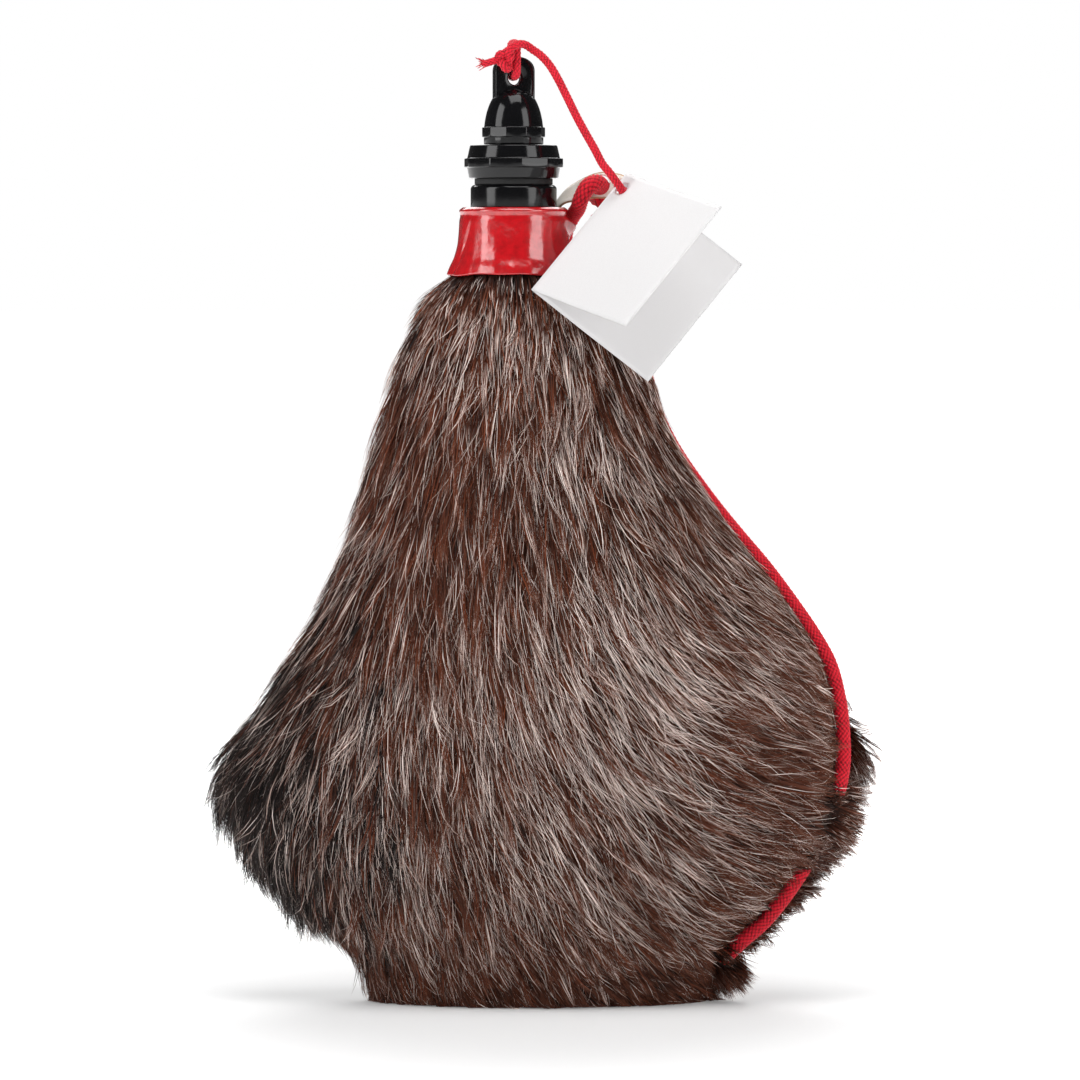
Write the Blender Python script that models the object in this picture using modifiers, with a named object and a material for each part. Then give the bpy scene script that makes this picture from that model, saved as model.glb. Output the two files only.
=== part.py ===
"""Hairy-hide wine bag with a moulded drinking spout, screw cap, carrying cord and folded paper tag.

Metres, +Z up. The origin is the bottom centre of the bag. The seam lies in the plane Y = 0,
the front panel faces -Y, and the curved side that carries the red cord is at +X.
"""

import math

import bmesh
import bpy
from mathutils import Matrix, Vector

mm = 0.001

# The bag: two hide panels sewn along the seam plane
bag_height = 236.0 * mm
bag_left = 99.7 * mm
bag_right = 99.3 * mm
bag_half_depth = 34.0 * mm
hide_wall = 3.0 * mm
seam_gap = 0.3 * mm
lens_share = 0.16
# height share, left reach share, right reach share, half depth share
bag_outline_shares = (
    (0.000, 0.532, 0.539, 0.50),
    (0.059, 0.552, 0.610, 0.70),
    (0.144, 0.757, 0.806, 0.86),
    (0.225, 0.918, 0.926, 0.94),
    (0.314, 1.000, 0.993, 0.99),
    (0.430, 0.843, 0.970, 1.00),
    (0.555, 0.668, 0.810, 0.965),
    (0.678, 0.562, 0.578, 0.90),
    (0.763, 0.513, 0.440, 0.83),
    (0.843, 0.451, 0.352, 0.765),
    (0.924, 0.381, 0.267, 0.67),
    (0.966, 0.321, 0.204, 0.615),
)
body_rows = 22
section_count = 36

# The gathered neck, round about the spout's axis
neck_x = -5.9 * mm
fit_gap = 0.3 * mm
binding_height = 11.0 * mm
neck_rise = 16.0 * mm
hide_top = bag_height + neck_rise
shoulder_rise = 3.5 * mm
gather_flare = 5.3 * mm
shoulder_flare = 2.9 * mm

# The bladder inside the hides
bladder_wall = 0.8 * mm
bladder_side_inset = 8.0 * mm
bladder_face_inset = 3.9 * mm
bladder_floor = 9.6 * mm
bladder_shoulder_drop = 17.0 * mm
bladder_count = 24
bladder_rows = 20
bladder_neck_drop = 6.0 * mm
bladder_neck_lead = 2.6 * mm

# The threaded insert bound into the neck
insert_head_r = 13.87 * mm
insert_proud = 12.7 * mm
insert_length = 33.7 * mm
insert_top = hide_top + insert_proud
insert_bottom = insert_top - insert_length
insert_head_height = 9.6 * mm
insert_chamfer = 0.9 * mm
insert_barrel_r = 9.6 * mm
insert_bore_r = 8.0 * mm
barb_rise = 0.2 * mm
barb_pitch = 3.0 * mm
barb_count = 4

# The twine that binds the neck, and the red sleeve over it
binding_wall = 1.1 * mm
binding_turns = 6
binding_steps = 24
collar_wall = 1.4 * mm
collar_over = 5.3 * mm
collar_height = 21.3 * mm
collar_top = hide_top + collar_over
collar_bottom = collar_top - collar_height
collar_lip_r = 17.5 * mm
collar_bottom_r = 21.2 * mm
# share of the drop, share of the spread
collar_shares = ((0.0, 0.0), (0.03, 0.0), (0.34, 0.03), (0.52, 0.10), (0.74, 0.38), (0.90, 0.78), (1.0, 1.0))

# The spout: faceted ring, threaded plug below and drinking nozzle above
flange_sides = 10
spout_washer_r = 12.75 * mm
spout_washer_height = 1.5 * mm
spout_low_r = 14.37 * mm
spout_waist_r = 14.98 * mm
spout_top_r = 14.05 * mm
spout_low_height = 3.5 * mm
spout_flange_r = 16.2 * mm
spout_flange_height = 2.9 * mm
spout_flange_turn = math.radians(8.6)
spout_taper_height = 4.2 * mm
plug_gap = 0.35 * mm
plug_length = 10.0 * mm
plug_bore_r = 5.5 * mm
nozzle_base_r = 7.0 * mm
nozzle_thread_height = 6.0 * mm
nozzle_tip_r = 2.6 * mm
nozzle_height = 13.0 * mm
jet_r = 0.9 * mm
jet_length = 3.0 * mm

# The cap: skirt, faceted flange, dome and lug
cap_skirt_r = 9.6 * mm
cap_skirt_height = 2.3 * mm
cap_flange_r = 10.2 * mm
cap_flange_height = 3.2 * mm
cap_flange_turn = math.radians(24.0)
dome_r = 9.5 * mm
dome_height = 12.8 * mm
dome_shares = ((1.0, 0.0), (0.968, 0.195), (0.884, 0.45), (0.737, 0.70), (0.547, 0.87), (0.263, 0.97))
cap_thread_r = 7.4 * mm
cap_thread_height = 6.6 * mm
cap_seat_r = 3.4 * mm
cap_washer_height = 1.0 * mm
lug_width = 13.05 * mm
lug_thick = 5.0 * mm
lug_rise = 10.0 * mm
lug_arch_rise = 4.8 * mm
lug_turn = math.radians(13.0)
lug_root_depth = 4.0 * mm
lug_hole_r = 2.2 * mm
lug_hole_drop = 7.0 * mm

# The thin cord from the cap, through the tag, to the neck tab
tether_d = 2.8 * mm
tether_step = 2.4 * mm
loop_reach = 4.7 * mm
loop_top_rise = 4.2 * mm
loop_hole_rise = 0.5 * mm
loop_squareness = 4.0
loop_points = 36
tether_knot_across = 4.8 * mm
tether_knot_deep = 4.4 * mm
tether_knot_tall = 5.4 * mm
tether_knot_shares = Vector((-1.0, -2.071, -0.286))
# the cord's points: X and Y from the bag's axis, height from the top of the hides
tether_tail = (
    (-9.7, -6.0, 53.0),
    (-11.4, -6.3, 52.6),
    (-13.6, -6.6, 51.9),
    (-16.0, -6.8, 51.2),
)
tether_route = (
    (-1.8, -4.4, 56.6),
    (0.4, -4.9, 55.9),
    (3.0, -5.8, 54.0),
    (5.8, -7.2, 50.8),
    (8.4, -8.8, 46.4),
    (11.2, -10.7, 40.8),
    (14.2, -12.6, 34.6),
    (17.2, -14.6, 29.0),
    (19.9, -16.8, 24.2),
    (22.4, -18.6, 19.4),
    (24.6, -19.9, 16.6),
    (26.8, -19.2, 13.6),
    (28.5, -17.1, 11.3),
    (29.3, -14.2, 9.6),
    (29.7, -11.0, 9.3),
    (29.5, -7.4, 9.9),
    (29.0, -4.0, 11.2),
    (28.7, -1.5, 12.0),
    (28.7, 0.8, 12.3),
)
tether_end_knot_r = 2.7 * mm

# The cream tab nipped in the collar
tab_turn = math.radians(20.0)
tab_root_depth = 4.6 * mm
tab_reach = 28.0 * mm
tab_route_shares = (
    (0.0, 0.0, 0.0),
    (0.004, 0.001, 0.168),
    (0.118, -0.004, 0.293),
    (0.304, -0.054, 0.375),
    (0.504, -0.126, 0.425),
    (0.743, -0.197, 0.407),
    (0.904, -0.233, 0.364),
)
tab_wide_shares = (
    (-0.34, 0.94, 0.0),
    (-0.33, 0.93, 0.1),
    (-0.2, 0.75, 0.62),
    (-0.1, 0.45, 0.88),
    (0.0, 0.2, 0.98),
    (0.1, 0.05, 0.99),
    (0.2, 0.0, 0.98),
)
tab_width_shares = (0.66, 0.66, 0.92, 1.08, 1.1, 1.0, 0.62)
tab_width = 8.4 * mm
tab_thick = 1.0 * mm
tab_slit_point = 4
tab_eye_point = 5
tab_slit_clear = 0.8 * mm
tab_eye_clear = 0.9 * mm

# The thick carrying cord, the knot of its ends and its keepers
strap_d = 5.1 * mm
strap_route = (
    (22.2, 7.4, 262.4),
    (22.8, 4.6, 263.8),
    (22.0, 1.5, 264.6),
    (20.6, -2.2, 265.2),
    (17.9, -5.0, 263.9),
    (15.5, -5.2, 260.6),
    (14.8, -0.8, 256.6),
    (14.2, 5.0, 252.0),
    (12.0, 11.6, 246.8),
    (13.4, 15.0, 240.2),
    (20.4, 12.0, 232.6),
    (27.2, 5.6, 224.8),
    (31.8, -0.6, 217.4),
    (35.4, -3.6, 211.6),
    (38.6, -3.4, 203.0),
    (40.5, -2.8, 193.8),
    (44.4, -2.4, 185.2),
    (49.5, -2.3, 176.2),
    (55.7, -2.4, 167.2),
    (61.9, -2.4, 158.9),
    (68.7, -2.4, 150.5),
    (76.3, -2.7, 141.2),
    (84.2, -2.8, 130.2),
    (91.1, -3.2, 119.7),
    (96.4, -3.6, 109.5),
    (99.2, -4.0, 98.5),
    (100.4, -4.7, 87.9),
    (100.4, -6.4, 77.2),
    (98.2, -8.5, 67.0),
    (94.4, -8.6, 56.4),
    (89.0, -7.8, 46.2),
    (82.6, -7.8, 36.4),
    (75.2, -8.2, 27.2),
    (68.4, -7.8, 19.4),
    (65.2, -4.6, 12.9),
    (63.0, 2.8, 10.4),
    (58.8, 10.9, 13.4),
    (54.1, 18.6, 19.9),
    (48.4, 25.6, 30.6),
    (42.3, 30.5, 45.9),
    (37.4, 33.5, 64.0),
    (33.8, 35.0, 84.0),
    (31.0, 35.8, 104.0),
    (28.6, 35.1, 124.0),
    (26.2, 33.4, 144.0),
    (23.8, 30.4, 164.0),
    (21.6, 26.6, 184.0),
    (19.8, 23.0, 204.0),
    (18.6, 19.6, 222.0),
    (19.2, 17.8, 236.0),
    (20.6, 16.2, 248.0),
    (21.5, 13.0, 255.8),
)
strap_knot_r = 4.4 * mm
keeper_wall = 1.0 * mm
keeper_clear = 0.4 * mm
keeper_route_points = {"strap_keeper_side": 28, "strap_keeper_bottom": 33}

# The folded tag: it hangs by its holes on the tether; the lines of the fold and of each leaf
tag_width = 47.8 * mm
tag_length = 49.9 * mm
tag_thick = 0.4 * mm
tag_fold_clear = 0.5 * mm
tag_route_point = 13
tag_fold_line = Vector((0.609, 0.274, 0.745)).normalized()
tag_back_line = Vector((0.785, -0.071, -0.616)).normalized()
tag_front_line = Vector((0.624, -0.745, -0.236)).normalized()
tag_hole_r = 2.4 * mm
tag_hole_from_top = 6.0 * mm
tag_hole_from_fold = 4.0 * mm

# The seam thread inside the turned edge
seam_thread_d = 1.2 * mm
seam_thread_rows = 24
seam_thread_step = 9.0 * mm
seam_thread_round = 3.0 * mm
seam_thread_drop = 15.0 * mm
seam_base_spans = 12
seam_wall_share = 1.6

merge_distance = 0.01 * mm
overrun = 1.0 * mm
turn_steps = 36
lug_arch_points = 10
tab_step = 2.4 * mm
strap_step = 8.0 * mm


def start_scene():
    for old in list(bpy.data.objects):
        bpy.data.objects.remove(old, do_unlink=True)
    parts = bpy.data.collections.new("wine_bag")
    tools = bpy.data.collections.new("cutters")
    bpy.context.scene.collection.children.link(parts)
    bpy.context.scene.collection.children.link(tools)
    return parts, tools


parts_collection, tools_collection = start_scene()


def finish(name, colour, roughness, metallic=0.0):
    material = bpy.data.materials.new(name)
    material.use_nodes = True
    shader = material.node_tree.nodes["Principled BSDF"]
    shader.inputs["Base Color"].default_value = (*colour, 1.0)
    shader.inputs["Roughness"].default_value = roughness
    shader.inputs["Metallic"].default_value = metallic
    return material


def place(name, mesh, material=None, location=(0.0, 0.0, 0.0)):
    """Put a mesh in the scene as a part, or as a hidden tool when it has no material."""
    piece = bpy.data.objects.new(name, mesh)
    piece.location = location
    if material is None:
        piece.hide_render = True
        piece.display_type = "WIRE"
        tools_collection.objects.link(piece)
    else:
        mesh.materials.append(material)
        parts_collection.objects.link(piece)
    return piece


def soften(piece, angle=math.radians(35.0)):
    piece.data.shade_smooth()
    piece.data.set_sharp_from_angle(angle=angle)


def turned(name, profile, material=None, steps=turn_steps):
    """Turn a profile of (radius, height) pairs, outer side first, about the neck's axis."""
    closed = profile[0][0] > 0.0
    mesh = bpy.data.meshes.new(name)
    count = len(profile)
    edges = [(i, i + 1) for i in range(count - 1)]
    if closed:
        edges.append((count - 1, 0))
    mesh.from_pydata([(r, 0.0, z) for r, z in profile], edges, [])
    piece = place(name, mesh, material, (neck_x, 0.0, 0.0))
    screw = piece.modifiers.new("turn", "SCREW")
    screw.axis = "Z"
    screw.steps = steps
    screw.render_steps = steps
    screw.use_merge_vertices = True
    screw.merge_threshold = merge_distance
    screw.use_smooth_shade = False
    return piece


def prism(name, radius, low, high, turn):
    """A faceted disc tool about the neck's axis, from height low to height high."""
    shape = bmesh.new()
    bmesh.ops.create_cone(
        shape, cap_ends=True, segments=flange_sides, radius1=radius, radius2=radius, depth=high - low
    )
    bmesh.ops.rotate(shape, cent=(0.0, 0.0, 0.0), matrix=Matrix.Rotation(turn, 3, "Z"), verts=shape.verts)
    bmesh.ops.translate(shape, vec=(0.0, 0.0, (low + high) / 2), verts=shape.verts)
    mesh = bpy.data.meshes.new(name)
    shape.to_mesh(mesh)
    shape.free()
    return place(name, mesh, None, (neck_x, 0.0, 0.0))


def box(name, low, high):
    """A box tool between two corners."""
    shape = bmesh.new()
    bmesh.ops.create_cube(shape, size=1.0)
    sides = Vector(high) - Vector(low)
    bmesh.ops.scale(shape, vec=sides, verts=shape.verts)
    bmesh.ops.translate(shape, vec=(Vector(low) + Vector(high)) / 2, verts=shape.verts)
    mesh = bpy.data.meshes.new(name)
    shape.to_mesh(mesh)
    shape.free()
    return place(name, mesh)


def rod(name, centre, direction, radius, length, material=None, sides=24):
    """A cylinder whose middle is at centre."""
    shape = bmesh.new()
    bmesh.ops.create_cone(
        shape, cap_ends=True, segments=sides, radius1=radius, radius2=radius, depth=length
    )
    turn = Vector(direction).to_track_quat("Z", "Y").to_matrix()
    bmesh.ops.rotate(shape, cent=(0.0, 0.0, 0.0), matrix=turn, verts=shape.verts)
    bmesh.ops.translate(shape, vec=Vector(centre), verts=shape.verts)
    mesh = bpy.data.meshes.new(name)
    shape.to_mesh(mesh)
    shape.free()
    return place(name, mesh, material)


def combine(piece, operation, *tools):
    for tool in tools:
        change = piece.modifiers.new(operation.lower(), "BOOLEAN")
        change.operation = operation
        change.solver = "EXACT"
        change.object = tool
    return piece


def curve_through(points, spacing):
    """Evenly spaced points of a centripetal spline through the given points."""
    knots = [Vector(p) for p in points]
    knots = [knots[0] * 2 - knots[1]] + knots + [knots[-1] * 2 - knots[-2]]
    fine = []
    for a, b, c, d in zip(knots, knots[1:], knots[2:], knots[3:]):
        for i in range(24):
            t = i / 24
            fine.append(
                0.5 * (
                    2 * b
                    + (c - a) * t
                    + (2 * a - 5 * b + 4 * c - d) * t * t
                    + (3 * b - a - 3 * c + d) * t * t * t
                )
            )
    fine.append(knots[-2])
    lengths = [0.0]
    for a, b in zip(fine, fine[1:]):
        lengths.append(lengths[-1] + (b - a).length)
    count = max(2, round(lengths[-1] / spacing))
    result = []
    at = 0
    for i in range(count + 1):
        wanted = lengths[-1] * i / count
        while at < len(fine) - 2 and lengths[at + 1] < wanted:
            at += 1
        span = max(lengths[at + 1] - lengths[at], 1e-12)
        result.append(fine[at].lerp(fine[at + 1], (wanted - lengths[at]) / span))
    return result


def tube(name, points, diameter, material, closed=False, resolution=2):
    """A cord of round section along the points, with flat ends unless it is a closed ring."""
    curve = bpy.data.curves.new(name, "CURVE")
    curve.dimensions = "3D"
    curve.bevel_depth = diameter / 2
    curve.bevel_resolution = resolution
    curve.use_fill_caps = not closed
    spline = curve.splines.new("POLY")
    spline.points.add(len(points) - 1)
    for spot, point in zip(spline.points, points):
        spot.co = (*point, 1.0)
    spline.use_cyclic_u = closed
    curve.materials.append(material)
    piece = bpy.data.objects.new(name, curve)
    parts_collection.objects.link(piece)
    return piece


def loft(name, sections, material=None):
    """Join rings of equally many points into one solid with flat ends."""
    shape = bmesh.new()
    rings = [[shape.verts.new(p) for p in ring] for ring in sections]
    count = len(rings[0])
    for low, high in zip(rings, rings[1:]):
        for i in range(count):
            j = (i + 1) % count
            shape.faces.new((low[i], low[j], high[j], high[i]))
    shape.faces.new(list(reversed(rings[0])))
    shape.faces.new(rings[-1])
    bmesh.ops.recalc_face_normals(shape, faces=shape.faces)
    mesh = bpy.data.meshes.new(name)
    shape.to_mesh(mesh)
    shape.free()
    return place(name, mesh, material)


def slab(name, corners, thickness_vector, material=None):
    """A flat outline of 3D corners, carried along a vector into a solid."""
    shape = bmesh.new()
    face = shape.faces.new([shape.verts.new(c) for c in corners])
    carried = bmesh.ops.extrude_face_region(shape, geom=[face])
    moved = [v for v in carried["geom"] if isinstance(v, bmesh.types.BMVert)]
    bmesh.ops.translate(shape, vec=thickness_vector, verts=moved)
    bmesh.ops.recalc_face_normals(shape, faces=shape.faces)
    mesh = bpy.data.meshes.new(name)
    shape.to_mesh(mesh)
    shape.free()
    return place(name, mesh, material)


def steady_curve(rows, height):
    """Read keyed rows at a height by a cubic that never overshoots a key."""
    last = len(rows) - 1
    k = 0
    while k < last - 1 and rows[k + 1][0] <= height:
        k += 1
    z0, z1 = rows[k][0], rows[k + 1][0]
    h = z1 - z0
    t = min(max((height - z0) / h, 0.0), 1.0)
    values = []
    for column in range(1, len(rows[0])):

        def rise(i):
            return (rows[i + 1][column] - rows[i][column]) / (rows[i + 1][0] - rows[i][0])

        def slope(i):
            if i == 0:
                return rise(0)
            if i == last:
                return rise(last - 1)
            before, after = rise(i - 1), rise(i)
            if before * after <= 0.0:
                return 0.0
            return 2 * before * after / (before + after)

        v0, v1 = rows[k][column], rows[k + 1][column]
        m0, m1 = slope(k) * h, slope(k + 1) * h
        values.append(
            v0 * (2 * t**3 - 3 * t**2 + 1)
            + m0 * (t**3 - 2 * t**2 + t)
            + v1 * (3 * t**2 - 2 * t**3)
            + m1 * (t**3 - t**2)
        )
    return values


barrel_fit_r = insert_barrel_r + barb_rise + fit_gap
bladder_neck_r = barrel_fit_r + bladder_wall
hide_neck_r = bladder_neck_r + fit_gap + hide_wall
binding_low = hide_top - fit_gap - binding_height


def bag_rows():
    """Keyed rows of height, left reach, right reach and half depth, up to the bound neck."""
    rows = [
        (h * bag_height, l * bag_left, r * bag_right, d * bag_half_depth)
        for h, l, r, d in bag_outline_shares
    ]
    neck_levels = (
        (bag_height, hide_neck_r + gather_flare),
        (bag_height + shoulder_rise, hide_neck_r + shoulder_flare),
        (binding_low, hide_neck_r),
        (hide_top, hide_neck_r),
    )
    for level, radius in neck_levels:
        rows.append((level, radius - neck_x, radius + neck_x, radius))
    return rows


def drawn_in(height, side_inset, face_inset):
    """Left reach, right reach and half depth of a skin that lies inside the bag's outer one."""
    rows = bag_rows()
    here = steady_curve(rows, height)
    above = steady_curve(rows, height + merge_distance)
    slopes = [(b - a) / merge_distance for a, b in zip(here, above)]
    insets = (side_inset, side_inset, face_inset)
    return [value - inset * math.hypot(1.0, slope) for value, inset, slope in zip(here, insets, slopes)]


def bag_section(height, side_inset, face_inset, points):
    """One level ring of the bag: two bowed sides that meet in the seam plane."""
    left, right, depth = drawn_in(height, side_inset, face_inset)
    middle = (right - left) / 2
    half = (right + left) / 2
    power = 1.0 + lens_share * max(0.0, 1.0 - height / bag_height)
    ring = []
    for i in range(points):
        angle = 2 * math.pi * i / points
        across = math.sin(angle)
        bow = math.copysign(abs(across) ** power, across) if abs(across) > 1e-9 else 0.0
        ring.append((middle + half * math.cos(angle), -depth * bow, height))
    return ring


def bag_skin(name, low, high, rows, insets, points, neck_levels, material):
    """The closed-bottomed, open-topped skin of the bag, drawn in at its sides and faces."""
    sections = []
    for i in range(rows + 1):
        level = low + (high - low) * i / rows
        sections.append(bag_section(level, *insets, points))
    for level, radius in neck_levels:
        ring = []
        for i in range(points):
            angle = 2 * math.pi * i / points
            ring.append((neck_x + radius * math.cos(angle), -radius * math.sin(angle), level))
        sections.append(ring)
    shape = bmesh.new()
    rings = [[shape.verts.new(p) for p in ring] for ring in sections]
    for below, above in zip(rings, rings[1:]):
        for i in range(points):
            j = (i + 1) % points
            shape.faces.new((below[i], below[j], above[j], above[i]))
    base = rings[0]
    shape.faces.new((base[0], base[1], base[-1]))
    for i in range(1, points // 2 - 1):
        shape.faces.new((base[i], base[i + 1], base[-i - 1], base[-i]))
    half = points // 2
    shape.faces.new((base[half - 1], base[half], base[half + 1]))
    bmesh.ops.recalc_face_normals(shape, faces=shape.faces)
    mesh = bpy.data.meshes.new(name)
    shape.to_mesh(mesh)
    shape.free()
    return place(name, mesh, material)


hide_finish = finish("hair_hide", (0.115, 0.062, 0.042), 0.75)
latex_finish = finish("latex", (0.62, 0.52, 0.36), 0.45)
thread_finish = finish("hemp", (0.45, 0.36, 0.24), 0.85)
black_finish = finish("black_plastic", (0.012, 0.012, 0.013), 0.18)
rubber_finish = finish("black_rubber", (0.02, 0.02, 0.02), 0.55)
pvc_finish = finish("red_pvc", (0.62, 0.015, 0.02), 0.16)
red_cord_finish = finish("red_cord", (0.58, 0.012, 0.03), 0.8)
tab_finish = finish("cream_leather", (0.76, 0.68, 0.55), 0.6)
card_finish = finish("white_card", (0.88, 0.87, 0.87), 0.55)


def make_hides():
    """Two half shells of one bowed bag, parted by the seam gap."""
    levels = (
        ((bag_height + binding_low) / 2, hide_neck_r + shoulder_flare),
        (binding_low, hide_neck_r),
        (hide_top, hide_neck_r),
    )
    reach = bag_left + bag_right
    insets = (0.0, 0.0)
    for name, side in (("front_hide_panel", -1.0), ("back_hide_panel", 1.0)):
        panel = bag_skin(
            name, 0.0, bag_height, body_rows, insets, section_count, levels, hide_finish
        )
        wall = panel.modifiers.new("wall", "SOLIDIFY")
        wall.thickness = hide_wall
        wall.offset = -1.0
        wall.use_even_offset = True
        near, far = sorted((side * seam_gap / 2, side * reach))
        keep = box(name + "_side", (-reach, near, -reach), (reach, far, hide_top + reach))
        combine(panel, "INTERSECT", keep)
        soften(panel)


def make_bladder():
    top = hide_top - bladder_neck_drop
    levels = ((binding_low - bladder_neck_lead, bladder_neck_r), (top, bladder_neck_r))
    insets = (bladder_side_inset, bladder_face_inset)
    shoulder = bag_height - bladder_shoulder_drop
    bladder = bag_skin(
        "bladder", bladder_floor, shoulder, bladder_rows, insets, bladder_count, levels, latex_finish
    )
    wall = bladder.modifiers.new("wall", "SOLIDIFY")
    wall.thickness = bladder_wall
    wall.offset = -1.0
    wall.use_even_offset = True
    soften(bladder)


make_hides()
make_bladder()


def make_seam_thread():
    """One thread that follows the hides' inner wall in the seam plane, down one side and up the other."""
    inset = hide_wall * seam_wall_share + fit_gap + seam_thread_d / 2
    low = inset + seam_thread_round
    left, right = [], []
    for i in range(seam_thread_rows + 1):
        level = low + (bag_height - seam_thread_drop - low) * i / seam_thread_rows
        left_reach, right_reach, _ = drawn_in(level, inset, inset)
        left.append(Vector((-left_reach, 0.0, level)))
        right.append(Vector((right_reach, 0.0, level)))
    inward = Vector((seam_thread_round, 0.0, -seam_thread_round))
    base_left = left[0] + inward
    base_right = Vector((right[0].x - inward.x, 0.0, base_left.z))
    base = [base_left.lerp(base_right, i / seam_base_spans) for i in range(seam_base_spans + 1)]
    points = curve_through(left[::-1] + base + right, seam_thread_step)
    tube("seam_thread", points, seam_thread_d, thread_finish, resolution=1)


def make_insert():
    head_low = insert_top - insert_head_height
    profile = [
        (insert_head_r - insert_chamfer, insert_top),
        (insert_head_r, insert_top - insert_chamfer),
        (insert_head_r, head_low),
        (insert_barrel_r, head_low),
    ]
    first = hide_top - bladder_neck_drop - barb_pitch
    for i in range(barb_count):
        crest = first - i * barb_pitch
        profile.append((insert_barrel_r, crest))
        profile.append((insert_barrel_r + barb_rise, crest))
        profile.append((insert_barrel_r, crest - barb_pitch / 2))
    profile += [(insert_barrel_r, insert_bottom), (insert_bore_r, insert_bottom), (insert_bore_r, insert_top)]
    soften(turned("neck_insert", profile, black_finish))


def make_binding():
    """Twine laid turn on turn: a ring whose outside has one round ridge for each turn."""
    inner = hide_neck_r + fit_gap
    low = binding_low + fit_gap
    high = hide_top - fit_gap
    pitch = (high - low) / binding_turns
    profile = []
    for i in range(binding_turns):
        top = high - i * pitch
        profile.append((inner + binding_wall / 2, top))
        profile.append((inner + binding_wall, top - pitch / 3))
        profile.append((inner + binding_wall, top - 2 * pitch / 3))
    profile += [(inner + binding_wall / 2, low), (inner, low), (inner, high)]
    soften(turned("neck_binding", profile, thread_finish, binding_steps))


def make_collar():
    outer = []
    drop = collar_top - collar_bottom
    spread = collar_bottom_r - collar_lip_r
    for drop_share, spread_share in collar_shares:
        outer.append((collar_lip_r + spread * spread_share, collar_top - drop * drop_share))
    inner = [(r - collar_wall, z) for r, z in reversed(outer)]
    outer[0] = (outer[0][0] - collar_wall / 3, outer[0][1])
    inner[-1] = (inner[-1][0] + collar_wall / 3, inner[-1][1])
    soften(turned("collar_sleeve", outer + inner, pvc_finish))


spout_low = insert_top + 2 * fit_gap + spout_washer_height
flange_low = spout_low + spout_low_height
flange_high = flange_low + spout_flange_height
spout_top = flange_high + spout_taper_height
plug_r = insert_bore_r - plug_gap
plug_low = spout_low - plug_length
nozzle_top = spout_top + nozzle_height
cap_low = spout_top + fit_gap
cap_flange_low = cap_low + cap_skirt_height
cap_flange_high = cap_flange_low + cap_flange_height
cap_crown = nozzle_top + 2 * fit_gap + cap_washer_height
lug_out = Vector((math.sin(lug_turn), -math.cos(lug_turn), 0.0))
lug_along = Vector((math.cos(lug_turn), math.sin(lug_turn), 0.0))
neck_axis = Vector((neck_x, 0.0, 0.0))
hide_rise = Vector((0.0, 0.0, hide_top))
lug_top = cap_flange_high + dome_height + lug_rise
lug_hole_z = lug_top - lug_hole_drop


def make_spout_washer():
    low = insert_top + fit_gap
    high = low + spout_washer_height
    profile = [(spout_washer_r, high), (spout_washer_r, low), (insert_bore_r, low), (insert_bore_r, high)]
    soften(turned("spout_seal", profile, rubber_finish))


def make_spout():
    body = turned("spout", [
        (0.0, nozzle_top),
        (nozzle_tip_r, nozzle_top),
        (nozzle_base_r, spout_top + nozzle_thread_height),
        (nozzle_base_r, spout_top),
        (spout_top_r, spout_top),
        (spout_waist_r, flange_high),
        (spout_waist_r, flange_low),
        (spout_low_r, spout_low),
        (plug_r, spout_low),
        (plug_r, plug_low),
        (0.0, plug_low),
    ], black_finish)
    flange = prism("spout_flange", spout_flange_r, flange_low, flange_high, spout_flange_turn)
    bore = turned("spout_bore", [
        (0.0, nozzle_top + overrun),
        (jet_r, nozzle_top + overrun),
        (jet_r, nozzle_top - jet_length),
        (plug_bore_r, spout_top),
        (plug_bore_r, plug_low - overrun),
        (0.0, plug_low - overrun),
    ])
    combine(body, "UNION", flange)
    combine(body, "DIFFERENCE", bore)


def make_cap_washer():
    low = nozzle_top + fit_gap
    radius = cap_seat_r - fit_gap
    high = low + cap_washer_height
    soften(turned("cap_seal", [(0.0, high), (radius, high), (radius, low), (0.0, low)], rubber_finish, 24))


def make_cap():
    dome = [(dome_r * r, cap_flange_high + dome_height * z) for r, z in reversed(dome_shares)]
    body = turned("cap", [
        (0.0, cap_flange_high + dome_height),
        *dome,
        (cap_skirt_r, cap_flange_high - cap_flange_height / 2),
        (cap_skirt_r, cap_low),
        (0.0, cap_low),
    ], black_finish)
    flange = prism("cap_flange", cap_flange_r, cap_flange_low, cap_flange_high, cap_flange_turn)
    half = lug_width / 2
    foot = cap_flange_high + dome_height - lug_root_depth
    shoulder = lug_top - lug_arch_rise
    outline = [(-half, foot), (half, foot)]
    for i in range(lug_arch_points + 1):
        angle = math.pi * i / lug_arch_points
        outline.append((half * math.cos(angle), shoulder + lug_arch_rise * math.sin(angle)))
    corners = [
        neck_axis + lug_along * across + Vector((0.0, 0.0, level)) - lug_out * lug_thick / 2
        for across, level in outline
    ]
    lug = slab("cap_lug", corners, lug_out * lug_thick)
    hole = rod("lug_hole", neck_axis + Vector((0.0, 0.0, lug_hole_z)), lug_out, lug_hole_r, 2 * lug_width)
    cavity = turned("cap_cavity", [
        (0.0, cap_crown),
        (cap_seat_r, cap_crown),
        (cap_seat_r, nozzle_top),
        (cap_thread_r, cap_low + cap_thread_height),
        (cap_thread_r, cap_low - overrun),
        (0.0, cap_low - overrun),
    ])
    combine(body, "UNION", flange, lug)
    combine(body, "DIFFERENCE", cavity, hole)


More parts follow.
